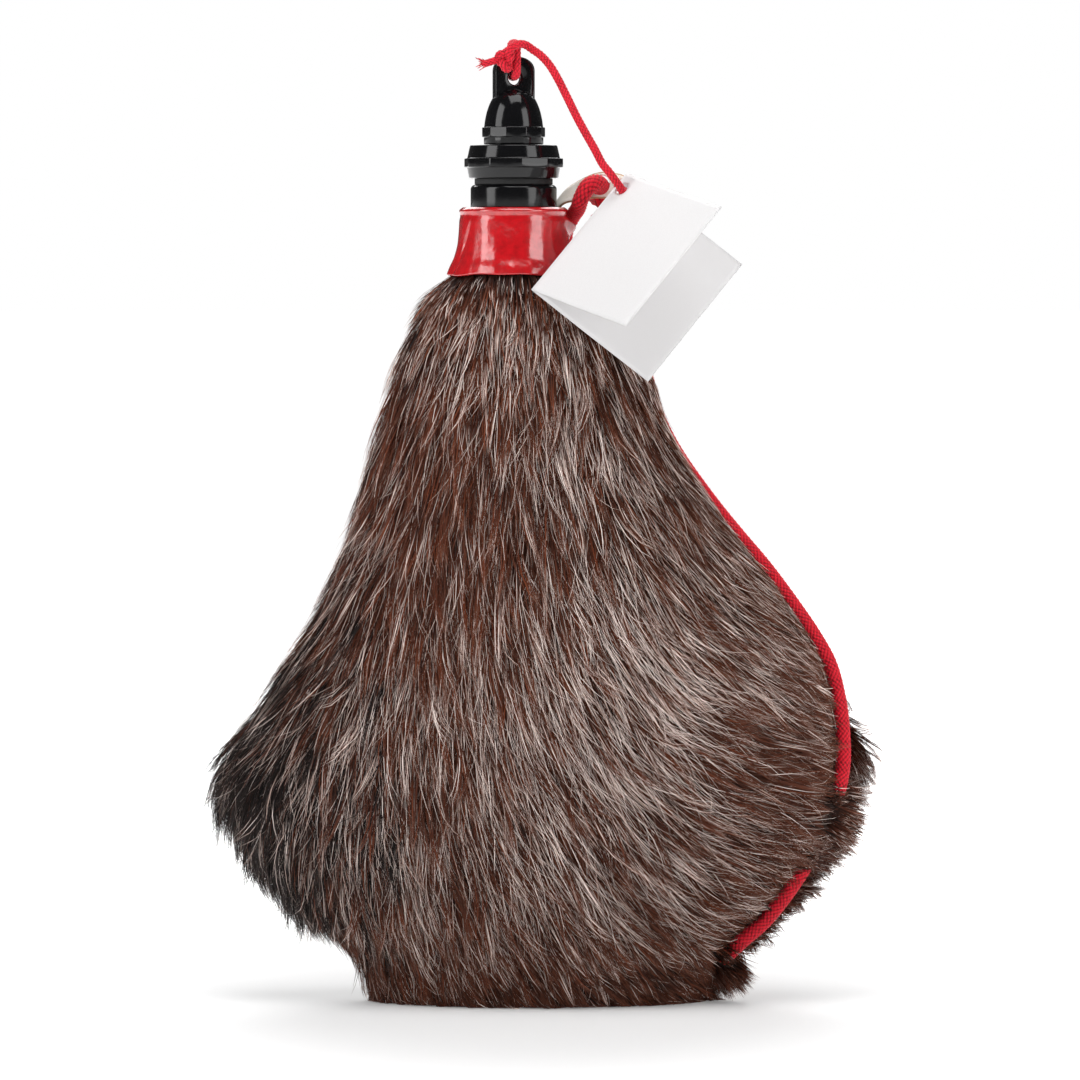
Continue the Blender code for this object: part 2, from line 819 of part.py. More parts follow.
def make_tether():
    low = lug_hole_z + loop_hole_rise
    high = lug_top + loop_top_rise
    ring = []
    for i in range(loop_points):
        angle = 2 * math.pi * i / loop_points
        c, s = math.cos(angle), math.sin(angle)
        out = math.copysign(abs(c) ** (2 / loop_squareness), c)
        up = math.copysign(abs(s) ** (2 / loop_squareness), s)
        level = Vector((0.0, 0.0, (low + high) / 2 + up * (high - low) / 2))
        ring.append(neck_axis + lug_out * loop_reach * out + level)
    tube("tether_loop", ring, tether_d, red_cord_finish, closed=True)

    shape = bmesh.new()
    bmesh.ops.create_uvsphere(shape, u_segments=20, v_segments=12, radius=0.5)
    size = (tether_knot_across, tether_knot_deep, tether_knot_tall)
    bmesh.ops.scale(shape, vec=size, verts=shape.verts)
    knot_at = neck_axis + Vector((0.0, 0.0, lug_top)) + tether_knot_shares * tether_d
    bmesh.ops.translate(shape, vec=knot_at, verts=shape.verts)
    mesh = bpy.data.meshes.new("tether_knot")
    shape.to_mesh(mesh)
    shape.free()
    knot = place("tether_knot", mesh, red_cord_finish)
    tail_points = curve_through([Vector(p) * mm + hide_rise for p in tether_tail], tether_d / 2)
    tail = mesh_of(tube("tether_tail", tail_points, tether_d, red_cord_finish))
    combine(knot, "UNION", tail)
    soften(knot)

    points = curve_through([Vector(p) * mm + hide_rise for p in tether_route], tether_step)
    tube("cap_tether", points, tether_d, red_cord_finish)
    ahead = (points[-1] - points[-2]).normalized()
    end = points[-1] + ahead * (fit_gap + tether_end_knot_r)
    ball("tether_end_knot", end, tether_end_knot_r, red_cord_finish)


def ball(name, centre, radius, material):
    shape = bmesh.new()
    bmesh.ops.create_uvsphere(shape, u_segments=16, v_segments=10, radius=radius)
    bmesh.ops.translate(shape, vec=Vector(centre), verts=shape.verts)
    mesh = bpy.data.meshes.new(name)
    shape.to_mesh(mesh)
    shape.free()
    piece = place(name, mesh, material)
    soften(piece)
    return piece


def mesh_of(piece, material=None):
    """Turn a curve piece into a welded mesh, a tool when it has no material, and remove the curve."""
    bpy.context.view_layer.update()
    graph = bpy.context.evaluated_depsgraph_get()
    mesh = bpy.data.meshes.new_from_object(piece.evaluated_get(graph))
    shape = bmesh.new()
    shape.from_mesh(mesh)
    bmesh.ops.remove_doubles(shape, verts=shape.verts, dist=merge_distance)
    bmesh.ops.recalc_face_normals(shape, faces=shape.faces)
    shape.to_mesh(mesh)
    shape.free()
    mesh.materials.clear()
    name = piece.name
    bpy.data.objects.remove(piece, do_unlink=True)
    return place(name, mesh, material)


def make_tab():
    """A leather strip that rises out of the collar and turns to face the viewer at its tip."""
    root_r = insert_head_r + fit_gap + tab_thick / 2
    root_low = collar_top - tab_root_depth
    root = neck_axis + Vector((root_r * math.cos(tab_turn), root_r * math.sin(tab_turn), root_low))
    stations = [root + tab_reach * Vector(share) for share in tab_route_shares]
    wides = [Vector(w) for w in tab_wide_shares]
    middles = curve_through(stations, tab_step)
    sections = []
    facings = []
    for i, middle in enumerate(middles):
        share = i / (len(middles) - 1) * (len(stations) - 1)
        k = min(int(share), len(stations) - 2)
        part = share - k
        ahead = (middles[min(i + 1, len(middles) - 1)] - middles[max(i - 1, 0)]).normalized()
        wide = wides[k].lerp(wides[k + 1], part)
        wide = (wide - ahead * wide.dot(ahead)).normalized()
        facing = ahead.cross(wide)
        width_share = tab_width_shares[k] * (1 - part) + tab_width_shares[k + 1] * part
        half = wide * tab_width * width_share / 2
        skin = facing * tab_thick / 2
        near, far = middle - skin, middle + skin
        sections.append([near - half, near + half, far + half, far - half])
        facings.append((middle, facing))
    tab = loft("strap_tab", sections, tab_finish)
    for name, station, radius in (
        ("tab_slit", tab_slit_point, strap_d / 2 + tab_slit_clear),
        ("tab_eye", tab_eye_point, tether_d / 2 + tab_eye_clear),
    ):
        middle, facing = min(facings, key=lambda spot: (spot[0] - stations[station]).length)
        combine(tab, "DIFFERENCE", rod(name, middle, facing, radius, 2 * (tab_thick + overrun)))


def make_strap():
    route = [Vector(p) * mm for p in strap_route]
    points = curve_through(route, strap_step)
    tube("strap_cord", points, strap_d, red_cord_finish)
    behind = (points[0] - points[1]).normalized()
    ball("strap_knot", points[0] + behind * (strap_knot_r + fit_gap), strap_knot_r, red_cord_finish)
    for name, station in keeper_route_points.items():
        nearest = min(range(len(points)), key=lambda i: (points[i] - route[station]).length)
        inside = strap_d + 2 * keeper_clear
        outside = inside + 2 * keeper_wall
        keeper = mesh_of(tube(name, points[nearest - 1:nearest + 2], outside, hide_finish), hide_finish)
        bore = mesh_of(tube(name + "_bore", points[nearest - 2:nearest + 3], inside, hide_finish))
        combine(keeper, "DIFFERENCE", bore)
        soften(keeper)


def make_tag():
    """Two leaves of card that share a fold, each with the cord's hole near the fold's upper end."""
    hole = Vector(tether_route[tag_route_point]) * mm + hide_rise
    top = hole + tag_fold_line * tag_hole_from_top - tag_back_line * tag_hole_from_fold
    corner = top - tag_fold_line * tag_length
    for name, line, outward in (
        ("tag_back", tag_back_line, tag_fold_line.cross(tag_back_line)),
        ("tag_front", tag_front_line, tag_front_line.cross(tag_fold_line)),
    ):
        start = line * tag_fold_clear
        end = line * tag_width
        corners = [corner + start, corner + end, top + end, top + start]
        leaf = slab(name, corners, outward.normalized() * tag_thick, card_finish)
        centre = top - tag_fold_line * tag_hole_from_top + line * tag_hole_from_fold
        punch = rod(name + "_hole", centre, outward, tag_hole_r, 2 * (tag_thick + overrun))
        combine(leaf, "DIFFERENCE", punch)


make_seam_thread()
make_insert()
make_binding()
make_collar()
make_spout_washer()
make_spout()
make_cap_washer()
make_cap()
make_tab()
make_tether()
make_strap()
make_tag()
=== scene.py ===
"""Dressed model of a hairy-hide wine bag: goat hair, red braided cords, PVC collar, black spout and
cap, leather tab and a bare folded card. Shapes are worked out in millimetres and stored in metres."""

import math

import bpy
import numpy as np
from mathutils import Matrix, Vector


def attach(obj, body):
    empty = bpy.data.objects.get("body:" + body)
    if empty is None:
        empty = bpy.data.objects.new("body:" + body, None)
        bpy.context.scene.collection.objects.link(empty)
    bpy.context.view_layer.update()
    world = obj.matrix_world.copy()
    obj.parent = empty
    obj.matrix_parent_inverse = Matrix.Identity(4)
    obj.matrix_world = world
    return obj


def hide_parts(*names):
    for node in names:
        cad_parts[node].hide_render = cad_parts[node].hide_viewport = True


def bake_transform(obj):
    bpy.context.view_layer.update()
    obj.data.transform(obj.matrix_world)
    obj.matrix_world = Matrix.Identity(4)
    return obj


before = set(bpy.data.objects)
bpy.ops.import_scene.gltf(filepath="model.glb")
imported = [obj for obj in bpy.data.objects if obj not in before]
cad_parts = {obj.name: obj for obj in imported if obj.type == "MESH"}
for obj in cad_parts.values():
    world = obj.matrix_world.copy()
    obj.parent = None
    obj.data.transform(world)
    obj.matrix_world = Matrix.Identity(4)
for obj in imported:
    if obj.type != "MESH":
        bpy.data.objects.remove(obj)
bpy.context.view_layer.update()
rng = np.random.default_rng(11)
mm = 0.001

# ---------------------------------------------------------------- the camera


def make_camera():
    """A long lens 1.8 m in front of the bag, 3 degrees above level: 1080 pixels span 349.5 mm."""
    distance, rise, span = 1.8, math.radians(3.0), 0.3495
    aim = Vector((0.0026, 0.0, 0.1500))
    data = bpy.data.cameras.new("camera")
    data.sensor_width = 36.0
    data.lens = 36.0 * distance / span
    camera = bpy.data.objects.new("camera", data)
    camera.location = aim + distance * Vector((0.0, -math.cos(rise), math.sin(rise)))
    camera.rotation_euler = (math.pi / 2 - rise, 0.0, 0.0)
    bpy.context.scene.collection.objects.link(camera)
    bpy.context.scene.camera = camera


make_camera()

# ---------------------------------------------------------------- meshes from arrays


def unit(vectors):
    """Each vector divided by its own length."""
    return vectors / np.maximum(np.linalg.norm(vectors, axis=-1, keepdims=True), 1e-9)


def across(a, b):
    """The unit vector square to both."""
    return unit(np.cross(a, b))


def dot(a, b):
    """Scalar product over the last axis, kept as a column."""
    return (a * b).sum(-1, keepdims=True)


def patch(points, around=False, along=False, caps=(False, False), relief=None):
    """A (rows, columns) grid of points as quads; around joins the last column to the first, along the
    last row to the first, and a cap closes an end row on its own middle."""
    rows, columns = points.shape[:2]
    row_steps, column_steps = rows - (not along), columns - (not around)
    i, j = (k.ravel() for k in np.meshgrid(np.arange(row_steps), np.arange(column_steps), indexing="ij"))
    up, over = (i + 1) % rows, (j + 1) % columns
    quads = np.stack([i * columns + j, i * columns + over, up * columns + over, up * columns + j], 1)
    u, v = np.stack([j, j + 1, j + 1, j], 1) / column_steps, np.stack([i, i, i + 1, i + 1], 1) / row_steps
    verts, tris, tri_maps = [points.reshape(-1, 3)], [], []
    value = np.zeros(rows * columns) if relief is None else relief.ravel()
    j = np.arange(column_steps)
    over = (j + 1) % columns
    for end, (wanted, row) in enumerate(zip(caps, (0, rows - 1))):
        if wanted:
            middle = np.full(len(j), sum(len(block) for block in verts))
            verts.append(points[row].mean(0, keepdims=True))
            value = np.append(value, value[row * columns:(row + 1) * columns].mean())
            near, far = row * columns + j, row * columns + over
            tris.append(np.stack([middle, far, near] if end == 0 else [middle, near, far], 1))
            place = np.stack([j + 0.5, j + 1, j] if end == 0 else [j + 0.5, j, j + 1], 1) / column_steps
            tri_maps.append(np.stack([place, np.full(place.shape, float(end))], -1))
    empty, no_map = np.zeros((0, 3), int), np.zeros((0, 3, 2))
    return {
        "verts": np.vstack(verts),
        "quads": quads,
        "quad_map": np.stack([u, v], -1),
        "tris": np.vstack(tris) if tris else empty,
        "tri_map": np.concatenate(tri_maps) if tri_maps else no_map,
        "relief": value,
    }


def build_mesh(name, patches, map_name="Lay"):
    """One mesh of several patches, with a UV map and the point value relief."""
    counts = np.cumsum([0] + [len(p["verts"]) for p in patches])
    quads = np.concatenate([p["quads"] + n for p, n in zip(patches, counts)])
    tris = np.concatenate([p["tris"] + n for p, n in zip(patches, counts)])
    maps = np.concatenate(
        [p["quad_map"].reshape(-1, 2) for p in patches] + [p["tri_map"].reshape(-1, 2) for p in patches]
    )
    mesh = bpy.data.meshes.new(name)
    mesh.vertices.add(int(counts[-1]))
    mesh.vertices.foreach_set("co", (np.vstack([p["verts"] for p in patches]) * mm).ravel())
    mesh.loops.add(quads.size + tris.size)
    mesh.loops.foreach_set("vertex_index", np.concatenate([quads.ravel(), tris.ravel()]).astype(np.int32))
    starts = np.concatenate([np.arange(len(quads)) * 4, quads.size + np.arange(len(tris)) * 3])
    mesh.polygons.add(len(starts))
    mesh.polygons.foreach_set("loop_start", starts.astype(np.int32))
    mesh.polygons.foreach_set("use_smooth", np.ones(len(starts), bool))
    layer = mesh.uv_layers.new(name=map_name)
    layer.uv.foreach_set("vector", maps.astype(np.float32).ravel())
    relief = mesh.attributes.new("relief", "FLOAT", "POINT")
    relief.data.foreach_set("value", np.concatenate([p["relief"] for p in patches]).astype(np.float32))
    mesh.update(calc_edges=True)
    return mesh


def make_piece(name, patches, finish, body, nodes=(), map_name="Lay"):
    """A piece of the bag: its mesh, its finish, the body that it rides on and what it stands for."""
    mesh = build_mesh(name, patches, map_name)
    mesh.materials.append(finish)
    piece = bpy.data.objects.new(name, mesh)
    bpy.context.scene.collection.objects.link(piece)
    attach(piece, body) if body else None
    if nodes:
        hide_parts(*nodes)
    return piece


def punched(piece, holes):
    """Cut round holes through a piece: each is its middle, direction, radius and depth, in mm."""
    tools = []
    for middle, direction, radius, depth in holes:
        ahead = unit(np.array(direction, float))
        side = across(ahead, np.array([0.31, 0.2, 0.93]))
        turn = np.linspace(0, 2 * math.pi, 40, endpoint=False)[:, None]
        ring = radius * (np.cos(turn) * side + np.sin(turn) * np.cross(ahead, side))
        tube = np.stack([middle - ahead * depth / 2 + ring, middle + ahead * depth / 2 + ring])
        tool = bpy.data.objects.new("hole", build_mesh("hole", [patch(tube, around=True, caps=(True, True))]))
        bpy.context.scene.collection.objects.link(tool)
        cut = piece.modifiers.new("hole", "BOOLEAN")
        cut.operation, cut.solver, cut.object = "DIFFERENCE", "EXACT", tool
        tools.append(tool)
    bpy.context.view_layer.update()
    graph = bpy.context.evaluated_depsgraph_get()
    mesh = bpy.data.meshes.new_from_object(piece.evaluated_get(graph))
    finish = piece.data.materials[0]
    piece.modifiers.clear()
    piece.data = mesh
    mesh.materials.clear()
    mesh.materials.append(finish)
    for tool in tools:
        bpy.data.objects.remove(tool, do_unlink=True)


def line_through(points, step):
    """A smooth line through the points (each span is the cubic that meets its neighbours' slopes),
    resampled at even steps along its length."""
    p = np.asarray(points, float)
    p = np.vstack([2 * p[0] - p[1], p, 2 * p[-1] - p[-2]])
    a, b, c, d = p[:-3, None], p[1:-2, None], p[2:-1, None], p[3:, None]
    t = np.linspace(0, 1, 24, endpoint=False)[None, :, None]
    fine = 0.5 * (2 * b + (c - a) * t + (2 * a - 5 * b + 4 * c - d) * t**2 + (3 * b - a - 3 * c + d) * t**3)
    return evenly(np.vstack([fine.reshape(-1, 3), p[-2]]), step)


def evenly(points, step):
    """The same line with its points at even distances."""
    far = length_along(points)
    at = np.linspace(0, far[-1], max(2, round(far[-1] / step)) + 1)
    return np.stack([np.interp(at, far, points[:, k]) for k in range(3)], 1)


def length_along(points):
    """Distance from the start at each point of a line."""
    return np.r_[0, np.cumsum(np.linalg.norm(np.diff(points, axis=0), axis=1))]


def carried(path, start=(0.3, 0.2, 1.0)):
    """Two directions across a path at each station, carried along it without twist."""
    ahead = unit(np.gradient(path, axis=0))
    side = np.empty_like(path)
    side[0] = across(ahead[0], np.array(start))
    for k in range(1, len(path)):
        side[k] = unit(side[k - 1] - ahead[k] * np.dot(side[k - 1], ahead[k]))
    return side, np.cross(ahead, side)


def steady(keys, at):
    """A cubic through keyed rows that never overshoots: the slope at a key is the harmonic mean of
    the rises beside it, and zero where these differ in sign."""
    z, v = keys[:, 0], keys[:, 1:]
    rise = np.diff(v, axis=0) / np.diff(z)[:, None]
    before, after = rise[:-1], rise[1:]
    same = before * after > 0
    slope = np.vstack([rise[:1], np.where(same, 2 * before * after / np.where(same, before + after, 1), 0), rise[-1:]])
    at = np.asarray(at, float)
    k = np.clip(np.searchsorted(z, at, side="right") - 1, 0, len(z) - 2)
    h = (z[k + 1] - z[k])[..., None]
    t = np.clip((at - z[k])[..., None] / h, 0, 1)
    value = v[k] * (2 * t**3 - 3 * t**2 + 1) + v[k + 1] * (3 * t**2 - 2 * t**3)
    return value + h * (slope[k] * (t**3 - 2 * t**2 + t) + slope[k + 1] * (t**3 - t**2))


# ---------------------------------------------------------------- finishes


class Term:
    """One output of a finish's node. Python's operators on it add the Math nodes."""

    def __init__(self, finish, socket):
        self.finish, self.socket = finish, socket

    def sum_of(self, operation, *values, clamp=False):
        return self.finish.node("Math", {"operation": operation, "use_clamp": clamp}, dict(enumerate(values)))

    def __add__(self, other):
        return self.sum_of("ADD", self, other)

    def __sub__(self, other):
        return self.sum_of("SUBTRACT", self, other)

    def __rsub__(self, other):
        return self.sum_of("SUBTRACT", other, self)

    def __mul__(self, other):
        return self.sum_of("MULTIPLY", self, other)

    def __truediv__(self, other):
        return self.sum_of("DIVIDE", self, other)

    def __pow__(self, other):
        return self.sum_of("POWER", self, other)

    def at_most(self, other):
        return self.sum_of("MINIMUM", self, other)

    def at_least(self, other):
        return self.sum_of("MAXIMUM", self, other)

    def steps(self, low, high):
        """0 up to low, 1 from high on, smooth between."""
        return self.finish.node(
            "MapRange",
            {"interpolation_type": "SMOOTHSTEP"},
            {"Value": self, "From Min": low, "From Max": high},
        )

    __radd__, __rmul__ = __add__, __mul__


class Finish:
    """A material whose principled shader gets its constants on its own sockets."""

    def __init__(self, name, **constants):
        self.material = bpy.data.materials.new(name)
        self.material.use_nodes = True
        self.tree = self.material.node_tree
        self.shader = self.tree.nodes["Principled BSDF"]
        for socket, value in constants.items():
            self.shader.inputs[socket.replace("_", " ")].default_value = value

    def feed(self, target, value):
        """Link a term to a socket, or set the socket's own value."""
        if isinstance(value, Term):
            self.tree.links.new(value.socket, target)
        elif hasattr(value, "__len__") and len(value) == 3 and len(target.default_value) == 4:
            target.default_value = (*value, 1.0)
        else:
            target.default_value = value

    def node(self, kind, settings=None, inputs=None, output=0):
        """Add a node of a kind, set its settings (a ramp's stops too), then its inputs, and give an output."""
        node = self.tree.nodes.new("ShaderNode" + kind)
        for name, value in (settings or {}).items():
            if name == "stops":
                ramp = node.color_ramp.elements
                while len(ramp) < len(value):
                    ramp.new(0.5)
                for element, (spot, colour) in zip(ramp, value):
                    element.position, element.color = spot, (*colour, 1.0)
            else:
                setattr(node, name, value)
        for name, value in (inputs or {}).items():
            self.feed(node.inputs[name], value)
        return Term(self, node.outputs[output])

    def spot(self, scale=(1.0, 1.0, 1.0)):
        """Object coordinates in metres, stretched by scale."""
        place = self.node("TexCoord", output="Object")
        return self.node("Mapping", {}, {"Vector": place, "Scale": scale})

    def noise(self, scale, detail=3.0, rough=0.55, where=None, twist=0.0):
        """Fractal noise of a scale in repeats per metre, from 0 to 1."""
        return self.node(
            "TexNoise",
            {},
            {"Vector": where or self.spot(), "Scale": scale, "Detail": detail, "Roughness": rough, "Distortion": twist},
        )

    def blend(self, share, first, second, how="MIX"):
        """Colour first where share is 0, second where it is 1."""
        node = self.tree.nodes.new("ShaderNodeMix")
        node.data_type, node.blend_type = "RGBA", how
        for index, value in ((0, share), (6, first), (7, second)):
            self.feed(node.inputs[index], value)
        return Term(self, node.outputs[2])

    def along(self, vector, direction, offset):
        """How far a place lies along a direction from an offset, in metres."""
        return self.node("VectorMath", {"operation": "DOT_PRODUCT"}, {0: vector, 1: direction}, output="Value") - offset

    def paint(self, **sockets):
        """Feed the shader's varying sockets; a bump is (height, strength, distance)."""
        for name, value in sockets.items():
            if name == "Bump":
                height, strength, distance = value
                value = self.node("Bump", {}, {"Height": height, "Strength": strength, "Distance": distance})
                name = "Normal"
            self.feed(self.shader.inputs[name.replace("_", " ")], value)
        return self.material


def hair_finish():
    """Goat hair, read from the hair map alone. Across it lie three bands, black-brown, brown and
    red-brown, each from dark to white-tipped; up it runs from root to tip."""
    f = Finish("goat_hair", Roughness=0.5, Specular_IOR_Level=0.14)
    place = f.node("UVMap", {"uv_map": "OFBake"})
    parts = f.tree.nodes.new("ShaderNodeSeparateXYZ")
    f.feed(parts.inputs[0], place)
    tone, way = Term(f, parts.outputs[0]), Term(f, parts.outputs[1])
    dark, ruddy = 1 - tone.steps(0.332, 0.334), tone.steps(0.666, 0.668)
    white = tone * 3.0 + dark - 1.0 - ruddy
    single = f.node("TexWhiteNoise", {"noise_dimensions": "1D"}, {"W": f.node("Math", {"operation": "FLOOR"}, {0: tone * 240.0})})
    brown = f.node("ValToRGB", {"stops": [(0.0, (0.007, 0.0026, 0.0018)), (0.35, (0.044, 0.0125, 0.0062)), (0.75, (0.116, 0.033, 0.0155)), (1.0, (0.19, 0.064, 0.033))]}, {0: way})
    red = f.node("ValToRGB", {"stops": [(0.0, (0.010, 0.0034, 0.002)), (0.35, (0.070, 0.0165, 0.0068)), (0.75, (0.195, 0.048, 0.019)), (1.0, (0.29, 0.090, 0.042))]}, {0: way})
    black = f.node("ValToRGB", {"stops": [(0.0, (0.003, 0.002, 0.0018)), (0.4, (0.008, 0.0045, 0.0038)), (0.8, (0.018, 0.010, 0.008)), (1.0, (0.034, 0.020, 0.016))]}, {0: way})
    base = f.blend(dark, f.blend(ruddy, brown, red), black)
    shade = single * 0.95 + 0.22
    base = f.blend(1.0, base, f.node("CombineXYZ", {}, {0: shade, 1: shade, 2: shade}), "MULTIPLY")
    pale = f.blend(single, (0.52, 0.36, 0.30), (1.0, 0.87, 0.81))
    share = (way + white * 0.62 - 0.86).steps(0.0, 0.30) * (white * 1.6).at_most(1.0)
    return f.paint(Base_Color=f.blend(share, base, pale))


def skin_finish():
    """Dark hide under the hair: mottled brown, matt, with a fine grain."""
    f = Finish("raw_hide", Roughness=0.8, Specular_IOR_Level=0.25)
    mottle = f.noise(140.0, 4.0)
    colour = f.node("ValToRGB", {"stops": [(0.25, (0.008, 0.005, 0.004)), (0.55, (0.022, 0.011, 0.008)), (0.85, (0.050, 0.022, 0.014))]}, {0: mottle})
    return f.paint(Base_Color=colour, Bump=(f.noise(1400.0, 3.0), 0.5, 0.0006))


def braid_finish(name, bright, dark):
    """Polyester braid with fine filaments: its own colour on the strands' backs, darkened in the grooves as painted
    shade.
    """
    f = Finish(name, Roughness=0.65, Specular_IOR_Level=0.2, Sheen_Weight=0.08, Sheen_Roughness=0.5)
    relief = f.node("Attribute", {"attribute_name": "relief"}, output="Fac")
    fibre = f.noise(5200.0, 2.0)
    # painted shade: how far the colour falls to the dark colour in a groove
    depth = (relief + fibre * 0.22 - 0.1).steps(0.25, 0.85)
    colour = f.blend(depth, dark, bright)
    worn = f.noise(60.0, 2.0)
    colour = f.blend(worn.steps(0.55, 0.8) * 0.25, colour, tuple(min(1.0, c * 1.15 + 0.012) for c in bright))
    return f.paint(Base_Color=colour, Bump=(fibre, 0.55, 0.0003))


def pvc_finish():
    """Glossy red PVC sleeve: faint ripples, and stains that darken and dull it a little."""
    f = Finish("red_pvc_sleeve", Coat_Roughness=0.05, IOR=1.52, Specular_IOR_Level=0.6)
    ripple = f.noise(110.0, 2.0, twist=0.6)
    stain = f.noise(420.0, 4.0)
    colour = f.blend(stain.steps(0.35, 0.75), (0.45, 0.004, 0.008), (0.32, 0.0025, 0.005))
    return f.paint(
        Base_Color=colour, Roughness=stain * 0.14 + 0.12, Coat_Weight=stain * -0.3 + 0.75,
        Bump=(ripple * 0.8 + f.noise(900.0, 2.0) * 0.08, 0.45, 0.0012),
    )


def plastic_finish(name="moulded_black", rough=0.11, tint=(0.0035, 0.0035, 0.004)):
    """Glossy moulded plastic with faint sink ripples, dust and hair scratches."""
    f = Finish(name, IOR=1.5, Specular_IOR_Level=0.32)
    fine = f.noise(2600.0, 3.0)
    cloud = f.noise(170.0, 2.0)
    scratch = f.noise(900.0, 2.0, where=f.spot((1.0, 1.0, 9.0)))
    colour = f.blend(fine.steps(0.64, 0.86) * 0.12, tint, (0.04, 0.038, 0.037))
    return f.paint(
        Base_Color=colour, Roughness=cloud * 0.06 + scratch.steps(0.6, 0.8) * 0.10 + rough - 0.03,
        Bump=(cloud + scratch * 0.05, 0.06, 0.0006),
    )


def plain_finish(name, low, high, rough, grain, strength, **constants):
    """A matt finish: two colours mottled by noise, with a grain in repeats per metre."""
    f = Finish(name, Roughness=rough, **constants)
    mottle = f.noise(grain / 6, 4.0)
    return f.paint(Base_Color=f.blend(mottle.steps(0.3, 0.7), low, high), Bump=(f.noise(grain, 3.0), strength, 0.0004))


def tab_finish():
    """Cream grain leather with tan cut edges and rubbed dirt."""
    f = Finish("cream_tab_leather", Roughness=0.55, Specular_IOR_Level=0.4)
    relief = f.node("Attribute", {"attribute_name": "relief"}, output="Fac")
    dirt = f.noise(260.0, 5.0)
    face = f.blend(dirt.steps(0.35, 0.75), (0.86, 0.82, 0.75), (0.74, 0.67, 0.57))
    colour = f.blend(relief.steps(0.35, 0.8), face, (0.42, 0.24, 0.12))
    return f.paint(Base_Color=colour, Bump=(f.noise(2300.0, 3.0) * 0.6 + dirt * 0.4, 0.35, 0.0004))


# ---------------------------------------------------------------- cords

strap_radius, tether_radius = 2.55, 1.4
neck_x = -5.9
lug_turn = math.radians(13.0)
lug_out = np.array([math.sin(lug_turn), -math.cos(lug_turn), 0.0])
lug_along = np.array([math.cos(lug_turn), math.sin(lug_turn), 0.0])
strap_route = np.array([
    (22.2, 7.4, 262.4), (22.8, 4.6, 263.8), (22.0, 1.5, 264.6), (20.6, -2.2, 265.2), (17.9, -5.0, 263.9),
    (15.8, -4.6, 260.2), (14.9, 0.4, 257.2), (13.2, 7.4, 254.6), (10.9, 12.8, 249.4), (11.6, 15.6, 242.6),
    (20.4, 12.0, 232.6), (27.2, 6.0, 224.8), (31.8, 1.2, 217.4), (35.2, -1.8, 211.0), (38.4, -3.3, 203.0), (40.8, -3.2, 193.8), (44.4, -2.4, 185.2),
    (49.5, -2.3, 176.2), (55.7, -2.4, 167.2), (61.9, -2.4, 158.9), (68.7, -2.4, 150.5), (76.3, -2.7, 141.2),
    (84.2, -2.8, 130.2), (91.1, -3.2, 119.7), (96.4, -3.6, 109.5), (99.2, -4.0, 98.5), (100.4, -4.7, 87.9),
    (100.4, -6.4, 77.2), (98.2, -8.5, 67.0), (94.4, -8.6, 56.4), (89.0, -7.8, 46.2), (82.6, -7.8, 36.4),
    (75.2, -8.2, 27.2), (67.4, -8.4, 20.3), (62.0, -6.6, 14.6), (60.2, 2.0, 9.9), (58.8, 10.9, 13.4),
    (54.1, 18.6, 19.9), (48.4, 25.6, 30.6), (42.3, 30.5, 45.9), (37.4, 33.5, 64.0), (33.8, 35.0, 84.0),
    (31.0, 35.8, 104.0), (28.6, 35.1, 124.0), (26.2, 33.4, 144.0), (23.8, 30.4, 164.0), (21.6, 26.6, 184.0),
    (19.8, 23.0, 204.0), (18.6, 19.6, 222.0), (19.2, 17.8, 236.0), (20.6, 16.2, 248.0), (21.5, 13.0, 255.8),
])
tether_route = np.array([
    (-1.8, -4.4, 308.6), (0.4, -4.9, 307.9), (3.0, -5.8, 306.0), (5.8, -7.2, 302.8), (8.4, -8.8, 298.4),
    (11.2, -10.7, 292.8), (14.2, -12.6, 286.6), (17.2, -14.6, 281.0), (19.9, -16.8, 276.2), (22.4, -18.6, 271.4),
    (24.6, -19.9, 268.6), (26.8, -19.2, 265.6), (28.5, -17.1, 263.3), (29.3, -14.2, 261.6), (29.7, -11.0, 261.3),
    (29.5, -7.4, 261.9), (29.0, -4.0, 263.2), (28.7, -1.5, 264.0), (28.7, 0.8, 264.3),
])
tether_start = np.array([(-8.0, -7.4, 305.6), (-7.2, -8.4, 307.6), (-5.2, -8.0, 309.4), (-2.4, -6.2, 309.6)])
# what hides the strap: hair laid over it at its two keepers, by route point
side_keeper, low_keeper = 28, 33


def braid(path, radius, count, columns, cell, closed=False, swell=1.0):
    """A braided cord about a path. Two families of strands, a = n·turn + s/cell and b = n·turn - s/cell,
    pass over one another in a chequer; the one on top arches as the sine of the way across it."""
    far = length_along(path)
    side, other = carried(path)
    turn = np.linspace(0, 2 * math.pi, columns, endpoint=False)[None, :]
    a = count * turn / (2 * math.pi) + far[:, None] / cell
    b = count * turn / (2 * math.pi) - far[:, None] / cell
    first = (np.floor(a) + np.floor(b)) % 2 == 0
    over = np.where(first, a, b) % 1
    along = np.where(first, b, a) % 1
    height = np.sin(math.pi * over) ** 0.6 * (0.55 + 0.45 * np.sin(math.pi * along))
    reach = radius * swell * (0.76 + 0.24 * height)
    if not closed:
        end = np.clip(np.minimum(far, far[-1] - far)[:, None] / radius, 0, 1)
        reach = reach * np.sqrt(np.clip(1 - (1 - end) ** 2, 0.02, 1))
    points = path[:, None] + reach[..., None] * (
        np.cos(turn)[..., None] * side[:, None] + np.sin(turn)[..., None] * other[:, None]
    )
    if closed:
        return patch(points[:-1], around=True, along=True, relief=height[:-1])
    return patch(points, around=True, caps=(True, True), relief=height)


